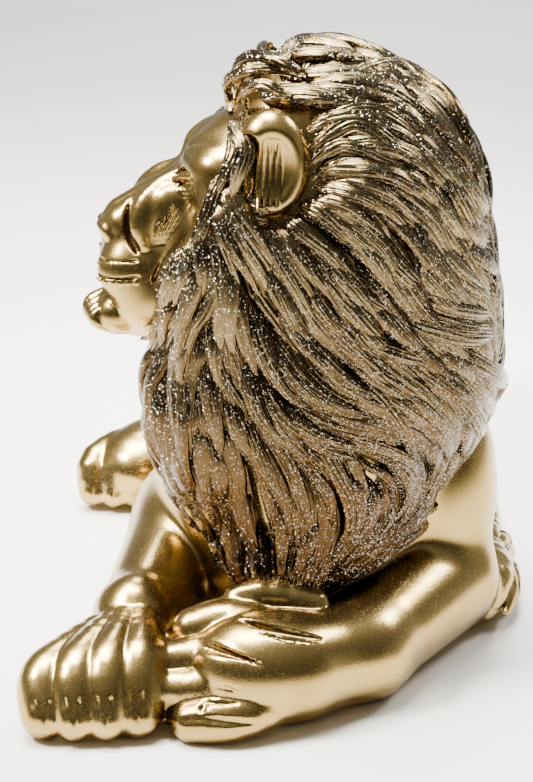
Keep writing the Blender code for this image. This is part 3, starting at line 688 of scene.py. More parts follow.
def eyes(field, q):
    """Sockets under the brow, with a narrow eye between two lids and creases behind it."""
    field = carve(field, egg(q, (-24.6, 13.6, 150.2), (5.4, 6.0, 3.4)), 1.8)
    field = melt(field, egg(q, (-18.8, 10.8, 150.0), (4.6, 5.4, 3.4)), 0.6)
    upper = [(-26.0, 7.4, 148.8), (-22.9, 12.2, 151.8), (-18.8, 16.0, 152.4), (-15.4, 18.6, 150.4)]
    lower = [(-26.0, 7.8, 147.6), (-22.8, 12.4, 147.6), (-18.6, 15.8, 148.2), (-15.2, 18.4, 149.4)]
    field = melt(field, rope(q, upper, [0.7, 1.3, 1.3, 0.6], 12, 0.4), 0.8)
    field = melt(field, rope(q, lower, [0.7, 1.0, 1.0, 0.6], 12, 0.4), 0.8)
    slit = [(-26.8, 8.6, 148.1), (-24.0, 13.2, 149.8), (-19.4, 17.0, 150.4), (-15.6, 19.4, 149.8)]
    field = carve(field, rope(q, slit, [0.3, 0.8, 0.7, 0.2], 12, 0.3), 0.5)
    for i in range(EYE_CREASES):
        crease = [(-15.6, 19.0, 149.2 - 0.7 * i), (-12.3, 21.0, 149.85 - 1.85 * i),
                  (-9.0, 23.0 + 0.3 * i, 151.5 - 3.0 * i)]
        field = carve(field, rope(q, crease, [0.3, 0.55, 0.1], 8, 0.2), 0.7)
    furrow = [(-24.2, 2.5, 156.0), (-20.2, 8, 161.0), (-14.5, 15.5, 163.6)]
    return carve(field, rope(q, furrow, [0.3, 0.8, 0.3], 10, 0.3), 2.4)


def muzzle(field, q):
    """Nose, tear line, whisker pads and the hanging edge of the lips."""
    ridge = [(-25.6, 5.6, 150.2), (-30.2, 7.2, 146.8), (-34.4, 8.8, 141.6), (-35.6, 10.6, 136.2),
             (-34.6, 12.4, 131.5)]
    field = melt(field, egg(q, (-28.0, 10.4, 138.5), (5.0, 4.0, 9.0)), 5)
    field = melt(field, rope(q, ridge, [1.4, 2.8, 3.6, 3.2, 1.4], 14, 0.5), 1.6)
    field = carve(field, egg(q, (-47.9, 3.3, 131.0), (2.2, 1.8, 1.5)), 0.7)
    wing = [(-47.6, 2.6, 134.6), (-45.6, 6.2, 133.8), (-42.8, 7.8, 130.6)]
    field = melt(field, rope(q, wing, [1.0, 1.4, 0.7], 8, 0.3), 1.4)
    cleft = [(-49.0, 0, 129.6), (-50.2, 0, 123.5), (-49.8, 0, 117.5)]
    field = carve(field, rope(q, cleft, [0.5, 0.6, 0.8], 6, 0.3), 0.9)
    crease = [(-38.6, 5.6, 143.4), (-39.0, 8.8, 138.6), (-38.6, 10.8, 133.4), (-36.6, 12.8, 129.6)]
    field = carve(field, rope(q, crease, [0.3, 0.9, 0.9, 0.2], 14, 0.4), 1.6)
    tear = [(-26.8, 8.2, 147.0), (-30.6, 10.6, 142.4), (-32.4, 12.2, 137.0)]
    field = carve(field, rope(q, tear, [0.3, 0.3, 0.1], 10, 0.3), 0.8)
    lip = [(-49.9, 0, 117.2), (-46.6, 7.4, 114.2), (-43.0, 10.2, 110.6), (-41.0, 11.4, 106.0)]
    field = carve(field, rope(q, lip, [1.2, 1.6, 1.5, 0.8], 12, 0.4), 0.9)
    return whiskers(field, q)


def whiskers(field, q):
    """Two grooves round each pad with a row of beads below each."""
    for height, deep in ((126.4, 0.0), (121.9, 1.2)):
        places = [(-49.3, 4.0, height), (-46.9, 9.6 + deep, height - 0.1),
                  (-41.7, 13.2 + deep, height + 0.3), (-36.4, 14.4 + deep, height + 1.0)]
        line = smooth_curve(places, 24)
        groove = rope(q, [tuple(c) for c in line[::4]] + [tuple(line[-1])], [0.35] * 7, 14, 0.3)
        field = carve(field, groove, 0.6)
        for i in range(WHISKER_BEADS):
            bead = line[5 + int(i * 17 / (WHISKER_BEADS - 1))] + np.array([0.0, 0.0, -1.5])
            field = melt(field, egg(q, bead, (0.85, 0.8, 0.6)), 0.35)
    return field


def cheek_folds(field, q):
    """Fine strokes in the hollow of the cheek and the fold that bounds the jaw."""
    fold = [(-19.8, 17.8, 143.5), (-24.4, 17.0, 136), (-29.2, 15.6, 128), (-32.6, 14.6, 120.5)]
    field = carve(field, rope(q, fold, [0.1, 0.25, 0.2, 0.1], 12, 0.3), 1.5)
    for i in range(CHEEK_STROKES):
        aside = 1.5 * i
        line = [(-20.5 - aside, 16.0 - 0.5 * i, 145.5 - 0.4 * i),
                (-24.5 - aside * 0.8, 15.2 - 0.3 * i, 139 - 0.3 * i),
                (-28.8 - aside * 0.5, 14.6 - 0.2 * i, 132.5 - 0.2 * i)]
        field = carve(field, rope(q, line, [0.1, 0.4, 0.1], 8, 0.2), 0.5)
    return field


def chin_tuft(field, q):
    """Short vertical curls under the lip, on a full chin."""
    field = melt(field, egg(q, (-43.0, 6.0, 108.6), (6.0, 5.2, 5.4)), 2)
    for i in range(CHIN_CURLS):
        out = 0.6 + 2.2 * i
        line = [(-46.4 + 0.4 * i, out, 113.6 - 0.8 * i), (-51.0 + 0.7 * i, out * 1.05, 110.2 - 0.5 * i),
                (-51.2 + 0.8 * i, out * 1.1, 106.6), (-47.6 + 0.8 * i, out, 104.4)]
        field = melt(field, rope(q, line, [1.0, 1.7, 1.7, 1.2], 12, 0.3), 0.3)
    return field


def ears(q):
    """Round upright ears: a shell hollowed from its outer side, deepest in front, with ridges."""
    middle, wide, high = 1.6, EAR_HALF * 0.56, EAR_HALF * 0.80
    shell = egg(q, (1.2, 25, 159.5), (EAR_HALF * 0.69, 8.5, EAR_HALF))
    bowl = egg(q, (middle, 36.0, 159.5), (wide, EAR_DEPTH, high))
    depth = egg(q, (-5.0, 33.0, 158.5), (EAR_HALF * 0.24, EAR_DEPTH + 4, EAR_HALF * 0.70))
    field = carve(carve(shell, bowl, 2.0), depth, 1.5)
    z = np.linspace(149, 167, 7)
    for i in range(EAR_RIDGES):
        x = -2.4 + 1.7 * i + 0.05 * (z - 149)
        deep = 1 - ((x - middle) / wide) ** 2 - ((z - 159.5) / high) ** 2
        y = 36.0 - EAR_DEPTH * np.sqrt(np.maximum(deep, 0))
        ridge = rope(q, list(zip(x, y, z)), [0.5, 0.9, 1.1, 1.1, 0.9, 0.6, 0.1], 9, 0.05)
        field = melt(field, ridge, 0.5)
    return field


def unfolded(q):
    """Points on the far side of the head's plane for their folded places."""
    return q + np.array([0, FACE_Y, 0], REAL)


def ears_on(field, q):
    """Both ears on the head, in their clear rooms."""
    return melt(carve(field, ear_rooms(unfolded(q)), 3), ears(q), 1.2)


def face(p):
    """The whole head with both ears."""
    q = mirrored(p)
    field = skull(q)
    parts = (                # the box round each, and the change made in it
        ((-38, -2, 138), (0, 34, 172), eyes),
        ((-60, -2, 96), (-16, 28, 158), muzzle),
        ((-42, 4, 112), (-12, 28, 152), cheek_folds),
        ((-60, -2, 96), (-36, 16, 120), chin_tuft),
        ((-22, 8, 138), (24, 50, 186), ears_on),
    )
    for low, high, change in parts:
        field = inside(low, high, q, field, change)
    return field


skin("head", face, np.array([-56.0, -107.0, 92.0]), np.array([26.0, -23.0, 184.0]),
     HEAD_STEP, HEAD_TRIANGLES, lacquer)


# The mane
# Hair carved in overlapping locks, combed back from the face, over the shoulders and in
# to a beard between the forelegs. Each lock is a flattened loft that tapers to its tip,
# grooved along its length in strands, lying where the solid's own locks lie, with smaller
# wisps between. Silver glitter was scattered over it while the lacquer was wet.
FACE_ROOT = (-16.0, FACE_Y, 150.0)               # the hair runs away from here
BEARD_TIP = (6.0, -93.0, 18.0)                   # and in to here
MANE_HEART = (18.0, -50.0, 112.0)                # middle of the mane
GOLDEN_TURN = math.pi * (1 + 5 ** 0.5)
HAIR_FALL = 1.7              # how much it turns down, far from the face
HAIR_BEND = 20.0             # degrees that it sways to either side
LOCK_SEEDS = 168             # starting places spread round the whole mane
RIM_LOCKS = 7                # more of them down each side of the face
EAR_LOCKS = 8                # and round the back of each ear
LOCK_LENGTH = 58.0
LOCK_WIDTH = 11.5
LOCK_THICKNESS = 9.2
LOCK_PROUD = 2.4             # how far the middle line of a lock stands off the bed
LOCK_MARGIN = 6.0            # and how far behind the rim of the face it stays
LOCK_STEPS = 30              # rings along a lock
SIDE_RING = 8                # the ring that says which side a lock is on
NEAR_EDGE = FACE_Y + 15.0    # a little past the middle, so both sides' pieces stay light
WISP_SEEDS = 460
RIM_WISPS = 22
EAR_WISPS = 16
WISP_MARGIN = 1.5
WISP_STEPS = 20
STRAND_WIDTH = 2.1           # between two main grooves of a lock
GLITTER_SIZE = 0.00024       # metres across a flake
GLITTER_BARE = 0.88          # share of the lacquer that no flake covers
GLITTER_TILT = 1.5           # how far the flakes lean out of the surface
COMB_RELIEF = 0.0005         # metres: depth of the finest strands, which are only shaded
LOW_SHADE_FROM, LOW_SHADE_TO = 0.030, 0.170              # metres up: where the painted shade low on the mane is brownest, and where it ends
MANE_PALE = "A69264"         # a darker gold than the body's, darkened in part as painted shade
MANE_DEEP = "675638"
LOW_SHADE_BROWN = "382410"       # painted shade: brown that darkens the mane towards the bottom
SILVER = "CCC4B2"            # the flakes

# How the hair is combed: places on the mane and the direction it runs there, in the
# sculptor's units with y counted outward from the head's plane of symmetry.
GUIDE_REACH = 34.0           # the combing fades to the general flow about this far off
COMBING = (
    (-6, 20, 175, 1.0, 0.2, 0.1), (8, 20, 177, 1.0, 0.1, 0.0), (24, 12, 177, 1.0, 0.1, 0.0),
    (45, 12, 165, 0.7, 0.0, -0.7), (22, 5, 178, 0.8, -0.6, 0.0), (38, 1, 173, 0.9, 0.2, -0.5),
    (50, 1, 159, 0.6, -0.3, -0.8), (15, 21, 165, 0.9, -0.2, 0.4), (23, 23, 158, 1.0, -0.2, 0.0),
    (37, 21, 153, 0.8, -0.3, -0.5), (46, 19, 140, 0.4, -0.2, -0.9), (12, 27, 148, 1.0, 0.1, 0.1),
    (22, 28, 143, 0.8, 0.0, -0.6), (34, 26, 133, 0.6, -0.1, -0.8), (54, 13, 118, 0.4, -0.5, -0.8),
    (-10, 10, 167, 0.0, 0.9, -0.5), (-11, 20, 156, -0.1, 0.5, -0.8), (-7, 29, 139, 0.4, 0.1, -0.9),
    (1, 29, 134, 0.4, 0.0, -0.9), (9, 29, 134, 0.7, 0.1, -0.7), (-16, 27, 138, -0.2, 0.0, -1.0),
    (-21, 24, 124, -0.3, -0.3, -0.9), (-29, 14, 110, -0.5, -0.4, -0.8), (-14, 28, 118, 0.0, 0.0, -1.0),
    (-23, 22, 88, 0.1, 0.2, -1.0), (-28, 16, 73, 0.2, 0.0, -1.0), (-2, 30, 114, 0.4, 0.0, -0.9),
    (9, 29, 115, 0.7, 0.1, -0.7), (23, 30, 116, 0.8, 0.0, -0.6), (37, 27, 110, 0.7, -0.3, -0.6),
    (52, 16, 101, 0.5, -0.6, -0.6), (-9, 29, 95, 0.2, 0.1, -1.0), (-1, 31, 85, 0.5, 0.0, -0.9),
    (9, 31, 86, 0.8, 0.0, -0.6), (22, 30, 84, 0.9, -0.1, -0.5), (34, 27, 78, 0.5, -0.4, -0.8),
    (38, 19, 62, -0.1, -0.3, -1.0), (31, 21, 50, -0.6, 0.2, -0.8), (47, 21, 85, 0.4, -0.5, -0.8),
    (39, 11, 43, -0.7, 0.8, -0.1), (10, 30, 70, 0.5, -0.1, -0.9), (18, 28, 59, 0.1, -0.1, -1.0),
    (15, 29, 43, -0.3, 0.3, -0.9), (7, 31, 42, 0.0, 0.4, -0.9), (-15, 27, 75, 0.2, -0.1, -1.0),
    (-5, 26, 59, 0.3, 0.0, -0.9), (-19, 18, 58, 0.4, -0.2, -0.9), (-6, 29, 41, 0.3, 0.5, -0.8),
    (5, 34, 33, 0.0, 0.1, -1.0),
)


def hair_bed(p):
    """The surface that the locks lie on."""
    field = melt(mane_base(p), skull(mirrored(p)), 5)
    return melt(field, trunk(p), 6)


def unit_rows(v):
    """Each row of v at length one."""
    return v / np.maximum(np.linalg.norm(v, axis=-1, keepdims=True), 1e-9)


def wave(p):
    """A slow swell between -1 and 1 that makes neighbouring locks bend together."""
    x, y, z = p.T
    return (np.sin(x / 13 + np.sin(y / 17) * 1.3 + z / 19 + 0.7)
            + np.sin(y / 11 - z / 15 + x / 29 + 2.1)
            + 0.7 * np.sin(z / 9 + x / 21 - y / 25)) / 2.4


def guided(p):
    """Direction of the nearest guides of COMBING at each point, and how near they are."""
    q = mirrored(p)
    total, near = np.zeros(p.shape), np.zeros(len(p))
    for x, y, z, along_x, along_y, along_z in COMBING:
        off = ((q - np.array((x, y, z))) ** 2).sum(1) + GUIDE_REACH ** 2 / 16
        total += np.array((along_x, along_y, along_z)) * (GUIDE_REACH ** 2 / off)[:, None] ** 2
        near += (GUIDE_REACH ** 2 / off) ** 2
    total[:, 1] *= np.sign(p[:, 1] - FACE_Y)
    return total / near[:, None], near / (near + 1)


def hair_flow(p, normal):
    """The way hair runs: away from the face, then down, then in to the beard tip."""
    away = p - np.array(FACE_ROOT)
    far = np.linalg.norm(away, axis=1)
    way = away / far[:, None]
    way[:, 2] -= HAIR_FALL * rise(far, 20, 100)
    way[:, 0] += 0.15
    pull = rise(-p[:, 2], -95, -40) * rise(-p[:, 1], 30, 60)
    way += unit_rows(np.array(BEARD_TIP) - p) * (pull * 1.2)[:, None]
    guide, share = guided(p)
    way = unit_rows(way) * (1 - share)[:, None] + unit_rows(guide) * share[:, None]
    way = unit_rows(way - (way * normal).sum(1, keepdims=True) * normal)
    bend = math.radians(HAIR_BEND) * wave(p)
    return way * np.cos(bend)[:, None] + np.cross(normal, way) * np.sin(bend)[:, None]


def mane_hem(p):
    """Height of the mane's lower edge, a V over the chest that levels at the sides."""
    vee = 20 + 1.05 * np.maximum(2 - p[:, 0], 0) + 0.62 * np.maximum(p[:, 0] - 5, 0)
    return np.minimum(vee, 46 + 0.30 * np.maximum(p[:, 1] + 60, 0))


def settled(p, way):
    """Points brought in from outside, against their way, until they meet the bed."""
    for _ in range(60):
        p = p - way * np.maximum(hair_bed(p), 0)[:, None] * 0.9
    return p


def by_face(p):
    """How far behind the rim of the face a point lies, or far for points away from it."""
    beside = (np.abs(p[:, 1] - FACE_Y) < 36) & (p[:, 2] > 88)
    return np.where(beside, np.minimum(rim_distance(p), p[:, 0] + 38.5), 99.0)


def spread_roots(count):
    """Even places on the mane, by golden turns round its middle."""
    i = np.arange(count) + 0.5
    lean, turn = np.arccos(1 - 2 * i / count), GOLDEN_TURN * i
    way = np.stack([np.cos(turn) * np.sin(lean), np.sin(turn) * np.sin(lean), np.cos(lean)], 1)
    p = settled(np.array(MANE_HEART) + way * 130, way)
    on_mane = np.abs(mane_base(p)) < 3
    return p[on_mane & (p[:, 2] > mane_hem(p) + 6)]


def rim_roots(rim_count, ear_count):
    """Places along the rim of the face and round the back of each ear."""
    z = np.linspace(121, 166, rim_count)
    x = 5.0 - 14.5 - 0.42 * (161 - z)
    angle = np.radians(np.linspace(-115, 105, ear_count))
    x = np.concatenate([x, 0.8 + 12.5 * np.cos(angle)])
    z = np.concatenate([z, 161 + 18.0 * np.sin(angle)])
    sides = []
    for side in (-1, 1):
        way = np.zeros((len(x), 3))
        way[:, 1] = side
        sides.append(settled(np.stack([x, FACE_Y + side * 110 + 0 * x, z], 1), way))
    p = np.concatenate(sides)
    return p[np.abs(hair_bed(p)) < 1]


def lock_lines(roots, length, steps):
    """Carry each root along the hair's flow, kept on the bed, with its normals."""
    p, normal = roots, slope(hair_bed, roots, 0.5)
    line, normals = [p], [normal]
    for _ in range(steps):
        p = p + hair_flow(p, normal) * (length / steps)[:, None]
        for _ in range(2):
            normal = slope(hair_bed, p, 0.5)
            p = p - normal * hair_bed(p)[:, None]
        line.append(p)
        normals.append(normal)
    return np.stack(line, 1), np.stack(normals, 1)


def combed(roots, length, margin, steps=8):
    """Lines and normals of the locks that stay on the mane, clear of face and ears."""
    line, _ = lock_lines(roots, length, steps)
    p = line.reshape(-1, 3)
    above = (line[:, :, 2] > mane_hem(p).reshape(line.shape[:2])).mean(1)
    in_front = by_face(p).reshape(line.shape[:2]).min(1) < margin
    on_ear = egg(mirrored(p), (0, 27, 160), (9.5, 14, 15.5)).reshape(line.shape[:2]).min(1) < 0
    keep = (above > 0.35) & ~in_front & ~on_ear
    return lock_lines(roots[keep], (length * above)[keep], steps)


def finer(rows, count):
    """Each lock's line read at more places, along smooth curves."""
    return np.stack([smooth_curve(row, count) for row in rows])


def grooves(across, strands, drift):
    """Depth of the combed grooves, 0 on a strand to 1 in a groove, at places across."""
    coarse = 1 - np.abs(np.sin(np.pi * strands * (across + drift))) ** 0.7
    fine = 1 - np.abs(np.sin(np.pi * (2.3 * strands) * (across + 0.7 * drift) + 1.0)) ** 0.8
    return 0.74 * coarse + 0.26 * fine


def tapered(along, root, full, thin, power):
    """Girth along a lock: a share of it at the root, all of it from full to thin, then a tip."""
    tip = np.clip((along - thin) / (1 - thin), 0, 1) ** power
    return np.minimum(1, root + along / full) * (1 - tip)


def loft_locks(line, normals, half_width, half_thick, rng, top, under, deep=0.30,
               strand=STRAND_WIDTH):
    """Closed tapering lofts along the lines: a lens across, grooved on its upper side.

    Across the lock, at t from -1 to 1, the upper side stands (1 - |t|^2.4)^0.6 thick, less
    the grooves, and the under side is a flatter arc; each side has its own number of points.
    The whole lens leans to one side, which changes along it. Returns points, faces, shelter
    (how much painted shade each point takes, most in the grooves and at the edges) and a
    chart in units across and along the lock.
    """
    count, steps = half_width.shape
    run = unit_rows(np.gradient(line, axis=1))
    side = unit_rows(np.cross(run, normals))
    up = np.cross(side, run)
    along = np.linspace(0, 1, steps)
    lean = rng.uniform(-0.42, 0.42, (count, 1)) + rng.uniform(-0.25, 0.25, (count, 1)) * along
    lean = lean[..., None]
    side, up = side * np.cos(lean) + up * np.sin(lean), up * np.cos(lean) - side * np.sin(lean)
    t = np.concatenate([-np.cos(np.linspace(0, np.pi, top)),
                        np.cos(np.linspace(0, np.pi, under + 2))[1:-1]])
    over = np.arange(len(t)) < top
    arch = np.where(over, (1 - np.abs(t) ** 2.4) ** 0.6, -0.7 * np.sqrt(1 - t * t))
    strands = np.maximum(2, np.round(half_width.max(1) * 2 / strand)) / 2
    sway = rng.uniform(-0.14, 0.14, (count, 1)) * np.sin(along * 5)
    drift = rng.uniform(0, 1, (count, 1)) + sway
    cut = grooves(t[None, None, :], strands[:, None, None], drift[..., None])
    cut = cut * np.where(over, 1.0, 0.0) * np.minimum(1, 6 * (1 - np.abs(t)))
    lift = arch[None, None, :] * half_thick[..., None] * (1 - deep * cut)
    spread = t[None, None, :] * half_width[..., None]
    points = (line[:, :, None] + side[:, :, None] * spread[..., None]
              + up[:, :, None] * lift[..., None])
    ring = len(t)
    a = (np.arange(steps - 1) * ring)[:, None] + np.arange(ring)[None, :]
    b = (np.arange(steps - 1) * ring)[:, None] + (np.arange(ring) + 1) % ring
    quads = np.stack([a, a + ring, b + ring, b], -1).reshape(-1, 4)
    quads = (quads[None] + (np.arange(count) * steps * ring)[:, None, None]).reshape(-1, 4)
    # Painted shade: how dark each point is painted, most down the grooves and along the lock's edges.
    closed = np.clip(0.85 * cut + 0.75 * np.abs(t) ** 6, 0, 1)
    reach = np.linalg.norm(np.diff(line, axis=1), axis=2).cumsum(1)
    reach = np.concatenate([np.zeros((count, 1)), reach], 1)
    chart = np.stack([spread + rng.uniform(0, 500, (count, 1, 1)),
                      np.broadcast_to(reach[..., None], spread.shape)], -1)
    return points.reshape(-1, 3), quads, closed.ravel(), chart.reshape(-1, 2)


def lock_piece(name, parts, material):
    """One piece from a group of lofted locks."""
    points, quads, closed, chart = parts
    mesh = raw_mesh(name, points, [quads])
    set_tone(mesh, "shelter", closed)
    layer = mesh.uv_layers.new(name="combing")
    layer.data.foreach_set("uv", chart[quads.ravel()].astype(REAL).ravel())
    finish_piece(mesh, name, material)


def vectors(tree, operation, inputs):
    """One step of arithmetic on vectors."""
    return add_node(tree, "ShaderNodeVectorMath", inputs, operation=operation).outputs[0]


def glittered_lacquer():
    """The same lacquer under fine flakes: about one cell in eight is a tilted mirror."""
    gold, tree, place, closed = bare_material("glittered gold lacquer")
    tone = drifting(tree, place, MANE_DEEP, MANE_PALE)
    # Painted shade: the mane is mixed towards brown low down, darker towards the bottom.
    height = add_node(tree, "ShaderNodeSeparateXYZ", {0: place}).outputs["Z"]
    low = ranged(tree, height, LOW_SHADE_FROM, LOW_SHADE_TO, 1.0, 0.0)
    low_shaded = mixed(tree, low, tone, linear(LOW_SHADE_BROWN))
    # Painted shade: brown mixed in where a lock is closed in, down its grooves and along its edges.
    hollow = ranged(tree, closed, 0.05, 0.80, 0.0, 0.95, "LINEAR")
    shaded = mixed(tree, hollow, low_shaded, linear(PAINTED_SHADE_BROWN))
    flake = add_node(tree, "ShaderNodeTexVoronoi", {"Vector": place,
                     "Scale": 1 / GLITTER_SIZE}).outputs["Color"]
    chance = add_node(tree, "ShaderNodeSeparateColor", {0: flake}).outputs[0]
    is_flake = maths(tree, "GREATER_THAN", chance, GLITTER_BARE)
    comb_map = add_node(tree, "ShaderNodeUVMap", uv_map="combing").outputs["UV"]
    strand = add_node(tree, "ShaderNodeMapping", {"Vector": comb_map, "Scale": (1.5, 0.045, 1.0)})
    strands = add_node(tree, "ShaderNodeTexNoise", {"Vector": strand.outputs[0], "Scale": 1.0,
                       "Detail": 2.0}, noise_dimensions="2D")
    bump = add_node(tree, "ShaderNodeBump", {"Height": strands.outputs["Fac"], "Strength": 1.0,
                    "Distance": COMB_RELIEF})
    random_way = vectors(tree, "SUBTRACT", {0: flake, 1: (0.5, 0.5, 0.5)})
    amount = maths(tree, "MULTIPLY", is_flake, GLITTER_TILT)
    nudge = vectors(tree, "SCALE", {0: random_way, "Scale": amount})
    leaning = vectors(tree, "ADD", {0: bump.outputs["Normal"], 1: nudge})
    metal(tree, mixed(tree, is_flake, shaded, linear(SILVER)),
          ranged(tree, is_flake, 0.0, 1.0, 0.17, 0.12, "LINEAR"),
          vectors(tree, "NORMALIZE", {0: leaning}))
    return gold


glitter = glittered_lacquer()


def mane_group(kind, seed, roots, reach, margin, sizes, taper, half_sizes, lift, ring):
    """Locks of one kind grown from roots, as one piece on the near side and one on the far.

    The reach and sizes are the least and most shares of LOCK_LENGTH and of half_sizes, the
    lift is how far each ring stands off the bed, and the ring is its upper and under points.
    """
    rng = np.random.default_rng(seed)
    line, normals = combed(roots, LOCK_LENGTH * rng.uniform(*reach, len(roots)), margin)
    size = rng.uniform(*sizes, len(line))[:, None]
    half_width = half_sizes[0] * size * np.maximum(taper, 0.03)
    half_thick = half_sizes[1] * size * np.maximum(taper, 0.06) ** 0.7
    line, normals = finer(line, len(taper)), unit_rows(finer(normals, len(taper)))
    line = line + normals * lift[None, :, None]
    near = line[:, SIDE_RING, 1] < NEAR_EDGE
    for side, mask in (("near", near), ("far", ~near)):
        rows = (a[mask] for a in (line, normals, half_width, half_thick))
        lock_piece(f"mane_{kind}_{side}", loft_locks(*rows, rng, *ring), glitter)


roots = np.concatenate([spread_roots(LOCK_SEEDS), rim_roots(RIM_LOCKS, EAR_LOCKS)])
along = np.linspace(0, 1, LOCK_STEPS)
mane_group("locks", 7, roots, (0.8, 1.15), LOCK_MARGIN, (0.8, 1.1),
           tapered(along, 0.30, 0.3, 0.4, 1.6), (LOCK_WIDTH * 0.62, LOCK_THICKNESS / 2),
           -2.4 + (LOCK_PROUD + 1.4) * np.minimum(1, along * 1.6), (32, 6))

roots = np.concatenate([spread_roots(WISP_SEEDS), rim_roots(RIM_WISPS, EAR_WISPS)])
along = np.linspace(0, 1, WISP_STEPS)
mane_group("wisps", 11, roots, (0.45, 0.85), WISP_MARGIN, (0.7, 1.15),
           tapered(along, 0.15, 0.25, 0.3, 1.4), (LOCK_WIDTH * 0.32, LOCK_THICKNESS * 0.26),
           -1.0 + 5.0 * np.sin(np.pi * along ** 0.8 * 0.78), (13, 3))


# The mane's outer locks
# The topmost locks on the chest's side, carved last in the master that the mould was taken
# from, and painted and glittered with the rest. Each lies where it shows from that side, a
# little prouder than its neighbours, with deeper and closer strands.
SEEN_PLACES = 14             # places laid on the bed along each of them
SEEN_STRAND = 1.3            # between two of their grooves
SEEN_DEPTH = 0.46            # of the grooves, as a share of the lock's thickness

